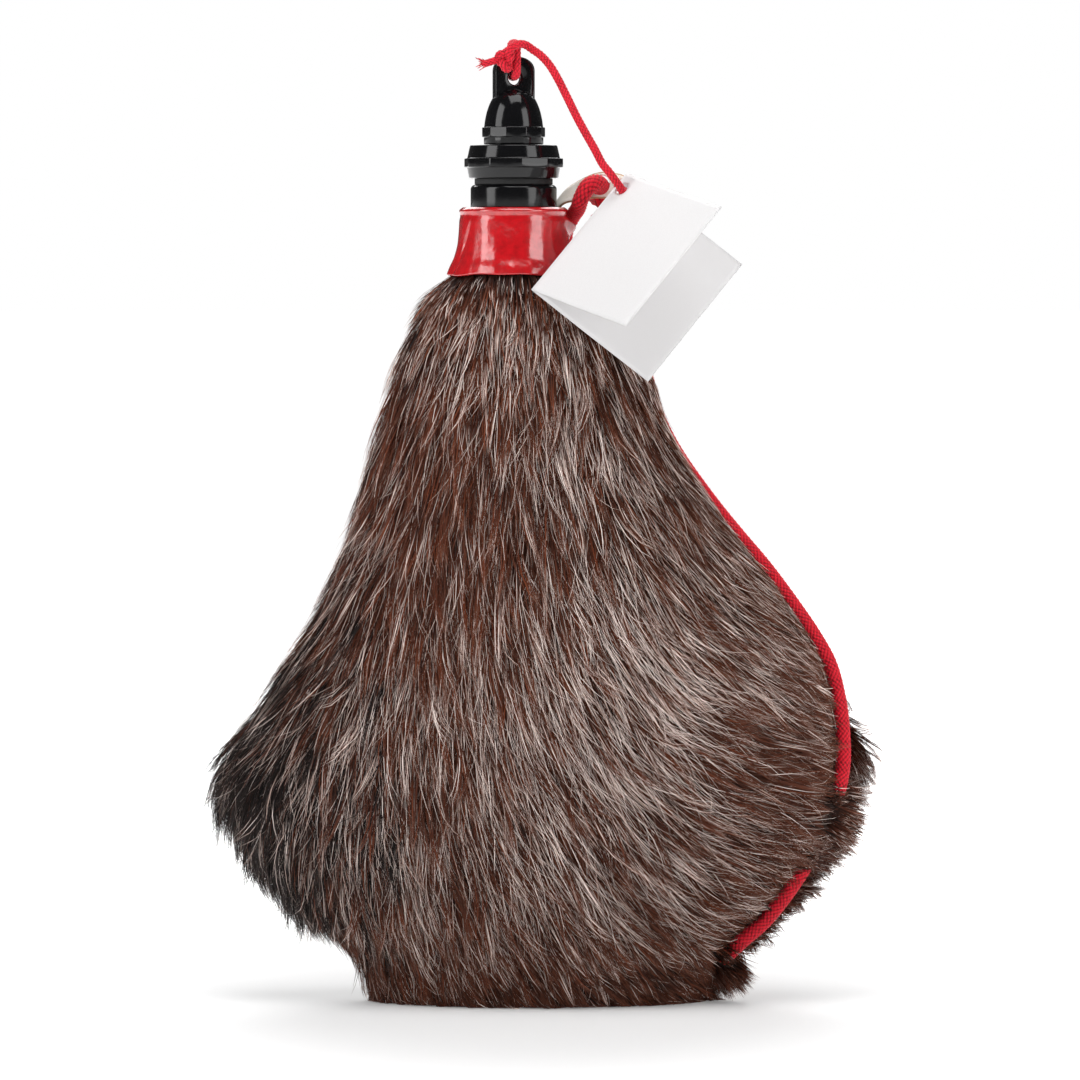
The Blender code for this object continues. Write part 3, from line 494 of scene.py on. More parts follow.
def knot_path(centre, size, turn=0.0, steps=90):
    """The trefoil line x = sin t + 2 sin 2t, y = cos t - 2 cos 2t, z = -sin 3t, fitted to a box."""
    t = np.linspace(0, 2 * math.pi, steps + 1)
    p = np.stack([np.sin(t) + 2 * np.sin(2 * t), np.cos(t) - 2 * np.cos(2 * t), -1.6 * np.sin(3 * t)], 1)
    c, s = math.cos(turn), math.sin(turn)
    p = np.stack([p[:, 0] * c - p[:, 1] * s, p[:, 2], p[:, 0] * s + p[:, 1] * c], 1)
    return np.array(centre) + p / np.abs(p).max(0) * np.array(size) / 2


def make_cords():
    """The strap, its knot, the cap's loop, knot and tail, the tether and its stopper knot."""
    # each braid's second colour is the painted shade in its grooves
    red = braid_finish("red_braid", (0.68, 0.008, 0.024), (0.16, 0.001, 0.005))
    thin_red = braid_finish("red_braid_thin", (0.68, 0.009, 0.028), (0.20, 0.002, 0.006))
    strap_line = line_through(strap_route, 0.4)
    tucked = np.interp(strap_line[:, 2], [112, 150, 180, 214, 232], [0, 0.7, 1, 1, 0]) * (length_along(strap_line) < 260)
    strap_line = strap_line + tucked[:, None] * np.array([-1.8, 1.8, 0.0])
    fat = 1 + 0.14 * np.exp(-((length_along(strap_line) - 11) / 7) ** 2)
    strap = make_piece("carrying_cord", [braid(strap_line, strap_radius * 1.03, 10, 50, 1.7, swell=fat[:, None])], red, "bag", ["strap_cord"])
    knot = [braid(knot_path((22.6, 11.8, 260.9), (4.4, 4.2, 4.4), 0.5), 2.2, 6, 20, 1.7, closed=True)]
    strap_end = make_piece("carrying_cord_knot", knot, red, "bag", ["strap_knot"])
    strap_line[0] * mm
    strap_line[::4] * mm

    low, high = 299.5, 310.2
    t = np.linspace(0, 2 * math.pi, 121)
    bow = lambda v: np.sign(v) * np.abs(v) ** 0.5
    ring = np.array([neck_x, 0, (low + high) / 2]) + bow(np.cos(t))[:, None] * lug_out * 4.7
    ring[:, 2] += bow(np.sin(t)) * (high - low) / 2
    ring = evenly(ring, 0.35)
    around = length_along(ring)[-1]
    loop = make_piece("lug_loop", [braid(ring, tether_radius, 6, 24, around / 2 / round(around / 2 / 1.35), closed=True)], thin_red, "cap", ["tether_loop"])

    centre = np.array((-8.5, -6.0, 304.9))
    tail = line_through([(-9.7, -6.0, 305.0), (-11.4, -6.3, 304.6), (-13.6, -6.6, 303.9), (-16.0, -6.8, 303.2)], 0.35)
    frayed = []
    for k in range(26):
        start = tail[-6] + rng.normal(0, 0.45, 3)
        lean = np.array([-1.0, rng.normal(0, 0.25), (0.35 if k % 2 else -0.45) + rng.normal(0, 0.22)])
        reach = rng.uniform(1.5, 3.3)
        strand = line_through([start, start + lean * reach * 0.5, start + lean * reach + (0, 0, rng.normal(0, 0.3))], 0.5)
        frayed.append(braid(strand, 0.16, 2, 5, 1.0))
    wound = [
        braid(knot_path(centre, (4.6, 3.2, 6.2), 0.35), 1.38, 6, 24, 1.3, closed=True),
        braid(tail, 1.25, 6, 24, 1.3),
        *frayed,
    ]
    make_piece("lug_loop_knot", wound, thin_red, "cap", ["tether_knot"])

    tether_line = line_through(np.vstack([tether_start, tether_route[1:]]), 0.35)
    tether = make_piece("tether_cord", [braid(tether_line, tether_radius, 6, 24, 1.35)], thin_red, None, ["cap_tether"])
    stopper = [braid(knot_path((28.69, 3.77, 264.7), (3.0, 2.8, 3.0), 1.0), 1.2, 6, 20, 1.3, closed=True)]
    end_knot = make_piece("tether_stopper", stopper, thin_red, "neck_washer", ["tether_end_knot"])
    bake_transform(tether)
    return strap_line, tether_line


strap_line, tether_line = make_cords()

# ---------------------------------------------------------------- turned and moulded pieces


def softened(profile, radius, steps=4, closed=True):
    """Round each corner of a profile by the parabola that touches both edges at a small distance."""
    p = np.asarray(profile, float)
    before, after = np.roll(p, 1, 0), np.roll(p, -1, 0)
    def toward(q):
        size = np.linalg.norm((q - p)[:, :2], axis=1, keepdims=True)
        return p + (q - p) * np.minimum(radius / np.maximum(size, 1e-6), 0.42)
    a, b = toward(before), toward(after)
    t = np.linspace(0, 1, steps)[None, :, None]
    curve = (1 - t) ** 2 * a[:, None] + 2 * t * (1 - t) * p[:, None] + t**2 * b[:, None]
    if not closed:
        curve[0], curve[-1] = p[0], p[-1]
    return curve.reshape(-1, p.shape[1])


def turned(profile, columns=180, turn=0.0, closed=True, pitch=0.0, caps=(False, False)):
    """Rows of (radius, height, facet share, thread height) carried round the neck's axis. A facet
    share draws the radius in to a ten-sided figure; a thread is a ridge that climbs one pitch a turn."""
    p = np.zeros((len(profile), 4))
    for k, row in enumerate(profile):
        p[k, :len(row)] = row
    angle = np.linspace(0, 2 * math.pi, columns, endpoint=False)[None, :]
    side = math.pi / 5
    flat = math.cos(side / 2) / np.cos((angle - turn - math.radians(18)) % side - side / 2)
    reach = p[:, :1] * (1 + p[:, 2:3] * (flat - 1))
    if pitch:
        climb = np.cos(2 * math.pi * (p[:, 1:2] / pitch - angle / (2 * math.pi)))
        reach = reach + p[:, 3:4] * np.clip(climb * 1.6, -1, 1)
    x, y = neck_x + reach * np.cos(angle), reach * np.sin(angle)
    points = np.stack([x, y, np.broadcast_to(p[:, 1:2], x.shape)], -1)
    return patch(points[:, ::-1] if closed is None else points, around=True, along=bool(closed), caps=caps)


def threaded(radius, low, high, height, step=0.25):
    """Rows up a threaded wall, its ridge fading in and out at the ends."""
    z = np.arange(low, high + 1e-6, (high - low) / max(1, round(abs(high - low) / step)))
    fade = np.clip(np.minimum(abs(z - low), abs(high - z)) / 0.8, 0, 1)
    return [(radius, level, 0.0, height * share) for level, share in zip(z, fade)]


def make_mouldings():
    """Neck insert, spout with its faceted ring, plug and nozzle, cap with its lug, and the washers."""
    black = plastic_finish()
    dull = plastic_finish("moulded_black_neck", 0.14, (0.003, 0.003, 0.0035))
    rubber = plain_finish("seal_rubber_black", (0.003, 0.003, 0.003), (0.006, 0.006, 0.006), 0.75, 2400.0, 0.25)

    head = [(8.3, 231.3), (9.6, 231.3), (9.6, 255.1), (13.87, 255.1), (13.87, 263.8), (12.97, 264.7), (8.3, 264.7)]
    head = list(softened(head, 0.5)) + threaded(8.15, 263.4, 232.6, 0.12, 0.3)
    make_piece("neck_fitting", [turned(head, pitch=3.0)], dull, "bag", ["neck_insert"])
    ring = softened([(8.0, 264.76), (12.6, 264.76), (12.6, 266.72), (8.0, 266.72)], 0.25)
    make_piece("spout_washer", [turned(ring, 96)], rubber, "neck_washer", ["spout_seal"])

    outside = [
        (7.3, 256.8), (7.3, 266.8), (14.37, 266.8), (14.98, 270.3), (16.2, 270.3, 1.0), (16.2, 273.2, 1.0),
        (14.98, 273.2), (14.05, 277.4), (7.0, 277.4), (7.0, 283.4), (2.6, 290.4), (0.9, 290.4), (0.9, 287.4),
        (5.5, 277.4), (5.5, 256.8),
    ]
    rows = softened([(*row, 0.0)[:3] for row in outside], 0.35)
    rows = [(*row, 0.0) for row in rows]
    plug = threaded(7.42, 257.4, 266.2, 0.16)
    nozzle = threaded(6.9, 277.9, 283.0, 0.16)
    first = next(k for k, row in enumerate(rows) if row[1] > 262)
    second = next(k for k, row in enumerate(rows) if row[1] > 283)
    rows = rows[:first] + plug + rows[first:second] + nozzle + rows[second:]
    make_piece("spout_ring", [turned(rows, turn=math.radians(8.6), pitch=3.0)], black, "spout", ["spout"])

    seal = softened([(3.1, 290.7), (3.1, 291.7)], 0.2, closed=False)
    seal = np.array([(2.7, 290.7), (3.0, 290.75), (3.1, 290.95), (3.1, 291.45), (3.0, 291.65), (2.7, 291.7)])
    make_piece("cap_washer_disc", [turned(seal, 64, closed=False, caps=(True, True))], rubber, "cap_washer", ["cap_seal"])

    dome = [(2.6, 295.65), (5.2, 294.4), (7.0, 292.2), (8.4, 289.0), (9.2, 285.7), (9.5, 283.2)]
    share = np.array([(1.0, 0.0), (0.968, 0.195), (0.884, 0.45), (0.737, 0.70), (0.547, 0.87), (0.263, 0.97), (0.0, 1.0)])
    fine = line_through([(r * 9.5, 0.0, 283.2 + z * 12.8) for r, z in share], 0.45)[::-1]
    lower = softened([
        (9.5, 284.2, 0.0), (9.5, 283.2, 0.0), (10.2, 283.2, 1.0), (10.2, 280.0, 1.0), (9.6, 280.0, 0.0), (9.6, 277.7, 0.0),
        (7.45, 277.7, 0.0), (7.45, 284.3, 0.0), (3.4, 290.4, 0.0), (3.4, 292.0, 0.0), (0.5, 292.0, 0.0),
    ], 0.3, closed=False)
    rows = [(r, z, 0.0) for r, _, z in fine if z > 283.75 and r > 0.2] + [tuple(row) for row in lower[4:]]
    shell = turned(rows[::-1], turn=math.radians(24.0), closed=False, caps=(True, True))
    lug = lug_patch()
    make_piece("cap_moulding", [shell, lug], black, "cap", ["cap"])


def lug_patch():
    """The cap's lug: a rounded-edged section carried round its hole, reaching out to the arch."""
    hole, half, thick, edge = 2.2, 6.525, 2.5, 0.55
    t = np.linspace(0, math.pi, 60)
    bow = lambda v, p: np.sign(v) * np.abs(v) ** p
    rim = np.vstack([
        np.stack([half * bow(np.cos(t), 0.92), 301.2 - 299 + 4.8 * bow(np.sin(t), 0.92)], 1),
        np.stack([np.full(20, -half), np.linspace(2.0, -7.0, 20)], 1),
        np.stack([np.linspace(-half, half, 30)[1:-1], np.full(28, -7.0)], 1),
        np.stack([np.full(20, half), np.linspace(-7.0, 2.0, 20)], 1),
    ])
    polar = np.arctan2(rim[:, 1], rim[:, 0])
    order = np.argsort(polar)
    angle = np.linspace(-math.pi, math.pi, 144, endpoint=False)
    outer = np.interp(angle, polar[order], np.hypot(*rim.T)[order], period=2 * math.pi)[:, None]
    section = np.array([
        (0, 0, -thick + edge), (0, 0.3 * edge, -thick + 0.3 * edge), (0, edge, -thick), (0.5, 0, -thick),
        (1, -edge, -thick), (1, -0.3 * edge, -thick + 0.3 * edge), (1, 0, -thick + edge),
        (1, 0, thick - edge), (1, -0.3 * edge, thick - 0.3 * edge), (1, -edge, thick), (0.5, 0, thick),
        (0, edge, thick), (0, 0.3 * edge, thick - 0.3 * edge), (0, 0, thick - edge),
    ])
    reach = hole + (outer - hole) * section[:, 0] + section[:, 1]
    flat = np.cos(angle)[:, None, None] * lug_along + np.sin(angle)[:, None, None] * np.array([0.0, 0.0, 1.0])
    points = np.array([neck_x, 0, 299.0]) + reach[..., None] * flat + section[:, 2][None, :, None] * lug_out
    return patch(points, around=True, along=True)


def make_collar():
    """The PVC sleeve: one closed profile carried round the neck, dented along a slanting crease,
    with a small pointed flap at the right and a slightly wavy lower rim."""
    keys = np.array([(0.0, 0.0), (0.03, 0.0), (0.34, 0.03), (0.52, 0.10), (0.74, 0.38), (0.90, 0.78), (1.0, 1.0)])
    drop = np.linspace(0, 1, 64)
    spread = steady(keys, drop)[:, 0]
    radius, height = 17.5 + 3.7 * spread, 257.3 - 21.3 * drop
    wall = 1.3
    profile = np.vstack([
        np.stack([radius - 0.9 * np.clip(1 - drop / 0.05, 0, 1) ** 2 + 0.15 * np.exp(-((drop - 0.05) / 0.03) ** 2) - 0.28 * np.exp(-((drop - 0.12) / 0.05) ** 2), height], 1),
        [(radius[-1] - 0.25, height[-1] - 0.35), (radius[-1] - wall + 0.25, height[-1] - 0.35)],
        np.stack([radius - wall, height], 1)[::-1],
        [(radius[0] - wall + 0.1, height[0] + 0.15), (radius[0] - 1.05, height[0] + 0.15)],
    ])
    angle = np.linspace(0, 2 * math.pi, 360, endpoint=False)[None, :]
    reach, level = profile[:, :1], profile[:, 1:]
    down = np.clip((257.3 - level) / 21.3, 0, 1)
    def near(centre, width):
        gap = (angle - centre + math.pi) % (2 * math.pi) - math.pi
        return np.exp(-(gap / width) ** 2), gap
    crease, gap = near(math.radians(222) - 0.42 * down, 0.10)
    flap, side = near(math.radians(-4), 0.16)
    ripple = 0.10 * np.sin(5 * angle + 3 * down) + 0.07 * np.sin(11 * angle - 5 * down + 1) + 0.05 * np.sin(23 * angle)
    lift = np.exp(-((level - 251.2 + 2.0 * side / 0.16) / 1.5) ** 2)
    reach = reach + ripple * (0.3 + 0.7 * down) + 0.6 * np.exp(-(gap / 0.5) ** 2) / (1 + np.exp(np.clip(gap / 0.012, -30, 30))) * np.clip(down * 3 - 0.2, 0, 1) - 0.35 * crease * np.clip(down * 2.4, 0, 1) + 2.6 * flap * lift
    level = level + (0.30 * np.sin(3 * angle + 0.7) + 0.16 * np.sin(8 * angle)) * down**4
    x, y = neck_x + reach * np.cos(angle), reach * np.sin(angle)
    make_piece("pvc_collar", [patch(np.stack([x, y, level + 0 * x], -1)[:, ::-1], around=True, along=True)], pvc_finish(), "bag", ["collar_sleeve"])


make_mouldings()
make_collar()


def strip(middles, wides, half_width, half_thick, edge=0.3, columns=10):
    """A flat strip with rounded edges carried along a line: its section is a closed loop, and the
    value relief is 1 on the cut edge."""
    ahead = unit(np.gradient(middles, axis=0))
    wide = unit(wides - ahead * dot(wides, ahead))
    facing = np.cross(ahead, wide)
    s = np.linspace(-1, 1, columns)
    loop = np.vstack([np.stack([s, np.full(columns, 1.0)], 1), np.stack([s[::-1], np.full(columns, -1.0)], 1)])
    rounding = np.where(np.abs(loop[:, :1]) > 0.99, 0.45, 1.0)
    points = middles[:, None] + wide[:, None] * (loop[:, 0] * half_width[:, None])[..., None]
    points = points + facing[:, None] * (loop[:, 1:] * rounding * half_thick)[None]
    relief = np.broadcast_to((np.abs(loop[:, 0]) > 0.99) * 1.0, points.shape[:2])
    return patch(points, around=True, caps=(True, True), relief=relief.copy()), facing


def make_tab():
    """The leather tab: up out of the collar, then turned to face the viewer, with slit and eye."""
    stations = np.array([
        (7.885, 5.017, 252.7), (8.0, 5.05, 257.4), (11.2, 4.9, 260.9), (16.4, 3.5, 263.2), (22.0, 1.5, 264.6),
        (28.7, -0.5, 264.1), (33.2, -1.5, 262.9),
    ])
    wides = np.array([
        (-0.34, 0.94, 0.0), (-0.33, 0.93, 0.1), (-0.2, 0.75, 0.62), (-0.1, 0.45, 0.88), (0.0, 0.2, 0.98),
        (0.1, 0.05, 0.99), (0.2, 0.0, 0.98),
    ])
    shares = np.array((0.66, 0.66, 0.86, 0.94, 1.04, 0.96, 0.62))
    middles = line_through(stations, 0.45)
    at = np.linspace(0, 6, len(middles))
    wide = np.stack([np.interp(at, np.arange(7), wides[:, k]) for k in range(3)], 1)
    half = 4.2 * np.interp(at, np.arange(7), shares) * np.sqrt(np.clip((len(at) - np.arange(len(at))) / 6, 0.25, 1))
    body, facing = strip(middles, wide, half, 0.5)
    tab = make_piece("leather_tab", [body], tab_finish(), None, ["strap_tab"])
    holes = []
    for station, radius in ((4, 3.35), (5, 2.3)):
        k = np.linalg.norm(middles - stations[station], axis=1).argmin()
        holes.append((middles[k], facing[k], radius, 4.0))
    punched(tab, holes)
    tab.parent = None
    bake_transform(tab)


def make_tag():
    """The folded card as one sheet: back leaf, fold and front leaf, each leaf bowed a little."""
    fold = unit(np.array([0.609, 0.274, 0.745]))
    back = unit(np.array([0.785, -0.071, -0.616]))
    front = unit(np.array([0.624, -0.745, -0.236]))
    corner = np.array([-0.561, -25.939, 231.374])
    up = np.linspace(0, 49.9, 34)[:, None, None]
    out = np.linspace(47.8, 0.9, 30)
    turn = np.linspace(0, 1, 7)[1:-1, None]
    inner = unit(back + front)
    bow = lambda s, high: high * np.sin(math.pi * s / 47.8) ** 2
    back_face, front_face = across(fold, back), across(front, fold)
    across_line = np.vstack([
        out[:, None] * back + bow(out, 0.25)[:, None] * back_face,
        inner * 0.35 + (back * (1 - turn) + front * turn) * 0.45,
        out[::-1, None] * front + bow(out[::-1], -0.35)[:, None] * front_face,
    ])
    middle = corner + fold * up + across_line[None]
    ahead = unit(np.gradient(across_line, axis=0))
    face = across(ahead, fold[None])
    half = 0.2
    points = np.concatenate([(middle + face * half)[::-1], middle - face * half]).transpose(1, 0, 2)
    # relief is 1 on the back leaf, which the card's finish paints greyer as painted shade
    relief = np.broadcast_to((np.arange(len(points)) < len(out))[:, None] * 1.0, points.shape[:2])
    sheet = patch(points, around=True, caps=(True, True), relief=relief.copy())
    card = make_piece("tag_card", [sheet], card_finish(), None, ["tag_back", "tag_front"])
    lower = corner + fold * 43.9
    punched(card, [(lower + back * 4.0, back_face, 2.4, 3.0), (lower + front * 4.0, front_face, 2.4, 3.0)])
    start, end = (corner + fold * 25 + back * 0.7) * mm, (corner + fold * 25 + front * 0.7) * mm
    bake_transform(card)


def card_finish():
    """Coated white card with a faint fibre; its back leaf is painted a little greyer, as painted shade from the front
    leaf standing over it.
    """
    f = Finish("coated_card", Roughness=0.42, Specular_IOR_Level=0.45)
    shaded_back_leaf = f.node("Attribute", {"attribute_name": "relief"}, output="Fac")
    fibre = f.noise(2600.0, 4.0)
    paper = f.blend(fibre.steps(0.3, 0.75), (0.66, 0.652, 0.654), (0.63, 0.62, 0.622))
    # painted shade: the back leaf gets a greyer copy of the paper colour
    return f.paint(Base_Color=f.blend(shaded_back_leaf, paper, (0.565, 0.555, 0.557)), Bump=(fibre, 0.04, 0.0001))


make_tab()
make_tag()

# ---------------------------------------------------------------- the hide and its hair

bag_rows = np.array([
    (h * 236.0, l * 99.7, r * 99.3, d * 34.0)
    for h, l, r, d in (
        (0.000, 0.532, 0.539, 0.50), (0.059, 0.552, 0.610, 0.70), (0.144, 0.757, 0.806, 0.86),
        (0.225, 0.918, 0.926, 0.94), (0.314, 1.000, 0.993, 0.99), (0.430, 0.843, 0.970, 1.00),
        (0.555, 0.668, 0.810, 0.965), (0.678, 0.562, 0.578, 0.90), (0.763, 0.513, 0.440, 0.83),
        (0.843, 0.451, 0.352, 0.765), (0.924, 0.381, 0.267, 0.67), (0.966, 0.321, 0.204, 0.615),
    )
] + [(z, r - neck_x, r + neck_x, r) for z, r in ((236.0, 19.5), (239.5, 17.1), (240.7, 14.2), (252.0, 14.2))])
side_inset, face_inset = 3.4, 2.4

# how the hair lies, seen from the front: x, z, degrees from straight down towards +X, whiteness
hair_keys = np.array([
    (-27, 228, -14, 0.55), (-41, 197, -16, 0.25), (-45, 218, -18, 0.10), (-27, 177, -7, 0.20), (-6, 207, -3, 0.40),
    (-10, 231, -2, 0.70), (3, 228, 4, 0.65), (12, 190, 4, 0.70), (27, 180, 12, 0.60), (40, 171, 25, 0.50),
    (40, 189, 22, 0.40), (-57, 147, -29, 0.25), (-48, 170, -20, 0.35), (-77, 116, -42, 0.10), (-95, 86, -42, 0.05),
    (-106, 74, -46, 0.00), (-71, 100, -30, 0.35), (-77, 66, -16, 0.20), (-94, 60, -26, 0.00), (-57, 86, -8, 0.45),
    (-47, 106, -10, 0.55), (-27, 131, -2, 0.35), (-27, 116, 2, 0.60), (-17, 86, 10, 0.60), (-37, 66, 6, 0.50),
    (-6, 66, 22, 0.70), (-47, 35, 6, 0.40), (-75, 45, -8, 0.20), (-27, 25, 14, 0.35), (-6, 25, 24, 0.40),
    (-55, 9, 10, 0.10), (-36, 5, 14, 0.12), (-10, 157, 0, 0.30), (8, 151, 7, 0.60), (25, 136, 22, 0.85),
    (50, 142, 36, 0.50), (69, 136, 50, 0.40), (31, 114, 36, 0.95), (9, 115, 18, 0.80), (60, 117, 54, 0.60),
    (79, 119, 56, 0.30), (88, 100, 66, 0.18), (60, 94, 61, 0.15), (79, 81, 74, 0.15), (96, 79, 78, 0.10),
    (22, 94, 30, 0.80), (40, 75, 47, 0.50), (9, 76, 26, 0.80), (69, 56, 68, 0.25), (88, 50, 72, 0.15),
    (22, 56, 32, 0.60), (40, 37, 46, 0.60), (12, 28, 28, 0.60), (31, 9, 38, 0.25), (50, 13, 52, 0.20),
    (3, 5, 26, 0.20), (67, 34, 64, 0.45), (105, 93, 86, 0.10), (101, 68, 80, 0.10), (103, 111, 70, 0.15),
])


def reaches(z, inset=0.0):
    """Left reach, right reach, half depth and bow power of the bag at a height."""
    left, right, depth = np.moveaxis(steady(bag_rows, np.clip(z, 0, 252)), -1, 0)
    inset = inset * np.interp(z, [205, 233], [1.0, 0.2])
    return left - inset * side_inset, right - inset * side_inset, depth - inset * face_inset, 1 + 0.16 * np.clip(1 - z / 236, 0, 1)


def bag_surface(angle, z, inset=0.0):
    """The bag's level ring: x by the cosine between its reaches, y by a power of the sine."""
    left, right, depth, power = reaches(z, inset)
    sine = np.sin(angle)
    x = (right - left) / 2 + (right + left) / 2 * np.cos(angle)
    return np.stack([x, depth * np.sign(sine) * np.abs(sine) ** power, z + 0 * x], -1)


def swell(p):
    """Root of ((x - middle) / half)² + (|y| / depth)^(2 / power), which is 1 on the bag."""
    left, right, depth, power = reaches(p[..., 2])
    return np.sqrt(((2 * p[..., 0] - right + left) / (right + left)) ** 2 + (np.abs(p[..., 1]) / depth + 1e-6) ** (2 / power))


def slope(p):
    """Slope of the swell by central differences, per mm."""
    return np.stack([(swell(p + step) - swell(p - step)) / 0.8 for step in np.eye(3) * 0.4], -1)


def outward(p):
    """The bag's outward direction at a place."""
    return unit(slope(p))


def stand_off(p):
    """How far outside the bag a place is, in mm."""
    return (swell(p) - 1) / np.maximum(np.linalg.norm(slope(p), axis=-1), 1e-4)


def lie_of_hair(x, z):
    """Angle and whiteness of the hair: the keyed places' mean, weighted by 1 / (distance² + 64)²."""
    x, z = np.asarray(x, np.float32)[..., None], np.asarray(z, np.float32)[..., None]
    weight = 1 / ((x - hair_keys[:, 0]) ** 2 + (z - hair_keys[:, 1]) ** 2 + 64) ** 2
    turn = np.radians(hair_keys[:, 2])
    angle = np.arctan2((weight * np.sin(turn)).sum(-1), (weight * np.cos(turn)).sum(-1))
    return angle, (weight * hair_keys[:, 3]).sum(-1) / weight.sum(-1)


def scatter(count, chance):
    """Random places on the inset hide, even by area times a chance that depends on the place."""
    angle, z = np.meshgrid(np.linspace(0, 2 * math.pi, 361), np.linspace(1.0, 237.0, 200), indexing="ij")
    p = bag_surface(angle, z, 1.0)
    area = np.linalg.norm(np.cross(p[1:, :-1] - p[:-1, :-1], p[:-1, 1:] - p[:-1, :-1]), axis=-1) * chance(p[:-1, :-1])
    pick = rng.choice(area.size, count, p=area.ravel() / area.sum())
    i, j = np.divmod(pick, area.shape[1])
    return bag_surface(angle[i, 0] + rng.random(count) * (angle[1, 0] - angle[0, 0]), z[0, j] + rng.random(count) * (z[0, 1] - z[0, 0]), 1.0)


side_run = strap_line[(strap_line[:, 1] < 1.5) & (strap_line[:, 2] < 222.0)]
covered = lambda z: ((z > 44.5) & (z < 65.5)) | (z < 15.5)
back_run = strap_line[(strap_line[:, 1] >= 1.5) & (strap_line[:, 2] < 250.0) & (np.arange(len(strap_line)) > 400)]


def comb(roots, length, lift, bend, steps, fall=1.0):
    """Hair lines that start at the roots and run over the hide: at each step the lie of the hair,
    turned by a growing bend, is laid in the tangent plane and raised by a lift that dies away."""
    p = roots.copy()
    lines, normals = [p], []
    for k in range(steps):
        t = k / steps
        n = outward(p)
        turn = lie_of_hair(p[:, 0], p[:, 2])[0] * np.where(roots[:, 1] > 2, 0.85, 1.0) + bend * (t + 0.15) ** 2
        way = np.stack([np.sin(turn), 0 * turn, -np.cos(turn)], -1)
        press = dot(way, n)
        way = unit(way - n * np.where(press > 0, 0.72 * press, press))
        rise = (lift * (1 - t) ** 1.5 - 0.04)[:, None]
        p = p + (way * np.cos(rise) + n * np.sin(rise)) * (length / steps)[:, None]
        p[:, 2] = np.maximum(p[:, 2], 0.35)
        lines.append(p)
        normals.append(n)
    normals.append(normals[-1])
    return np.stack(lines, 1), np.stack(normals, 1)


def kept_short(roots, lines, length):
    """Shorten hair so that it ends where it would stand off the bag's outline, and front hair also
    where it would reach the strap's bare side run."""
    wing = 1 + 0.5 * np.exp(-((lines[..., 0] + 104) / 14) ** 2 - ((lines[..., 2] - 68) / 14) ** 2)
    off = stand_off(lines) > rng.uniform(3.5, 8.5, len(roots))[:, None] * wing * np.interp(lines[..., 2], [10, 30, 110, 170, 240], [0.3, 1.0, 1.0, 0.42, 0.3])
    wide = lines.shape[1] - 1
    first = np.where(off.any(1), np.maximum(off.argmax(1), 1), wide)
    length = length * np.clip(first / wide, 0.3, 1.0)
    run = side_run[~covered(side_run[:, 2])][::4][:, [0, 2]]
    room = np.interp(run[:, 1], [104, 122, 150, 175], [3.3, 2.0, 0.6, -1.0])
    gap = (np.linalg.norm(lines[:, :, None, [0, 2]] - run, axis=-1) - room).min(-1)
    meets = (gap < 0) & (roots[:, 1] < 1.0)[:, None]
    first = np.where(meets.any(1), meets.argmax(1), lines.shape[1] - 1)
    return length * np.clip(first / (lines.shape[1] - 1), 0.22, 1.0)


def clear_of_cord(points, normals, front):
    """Hair that crosses the strap's bare run is tucked behind it, hair at its keepers is laid over it,
    and hair on the back lies under it: only its depth changes, to the cord's round outline."""
    out = points.copy()
    for run, side, over in ((side_run[::3], front, -1.0), (back_run[::3], ~front, 1.0)):
        pick = np.flatnonzero(side & (np.abs(points[:, :, None, [0, 2]] - run[None, None, ::6, [0, 2]]).sum(-1).min((1, 2)) < 16))
        if not len(pick):
            continue
        near = out[pick]
        flat = np.linalg.norm(near[:, :, None, [0, 2]] - run[:, [0, 2]], axis=-1)
        k = flat.argmin(-1)
        gap = np.take_along_axis(flat, k[..., None], -1)[..., 0]
        way = unit(np.gradient(run[:, [0, 2]], axis=0))
        aside = ((near[..., [0, 2]] - run[k][..., [0, 2]]) * np.stack([-way[k, 1], way[k, 0]], -1)).sum(-1)
        cover = np.interp(run[k, 2], [104, 122, 150, 180], [-2.9, -1.2, 0.2, 1.5]) + rng.normal(0, 0.9, (len(pick), 1)) if over < 0 else -9.0
        hidden = covered(run[k, 2] + rng.normal(0, 2.4, (len(pick), 1))) & (over < 0)
        half = np.sqrt(np.clip(2.95**2 - gap**2, 0, None))
        middle = run[k, 1]
        behind = middle - over * half
        before = middle + over * half
        y = near[..., 1]
        tucked = np.where(over * (y - behind) > 0, behind, y)
        laid = np.where(over * (y - before) < 0, before + over * 0.25, y)
        near[..., 1] = np.where(gap < 2.95, np.where(hidden | (aside < cover), laid, tucked), y)
        out[pick] = near
    return out


def held_in(x):
    """Draw hair that stands far past the left and right edges back towards them."""
    return np.where(x > 107, 107 + 8 * np.tanh((x - 107) / 8), np.where(x < -106, -106 - 6 * np.tanh((-106 - x) / 6), x))


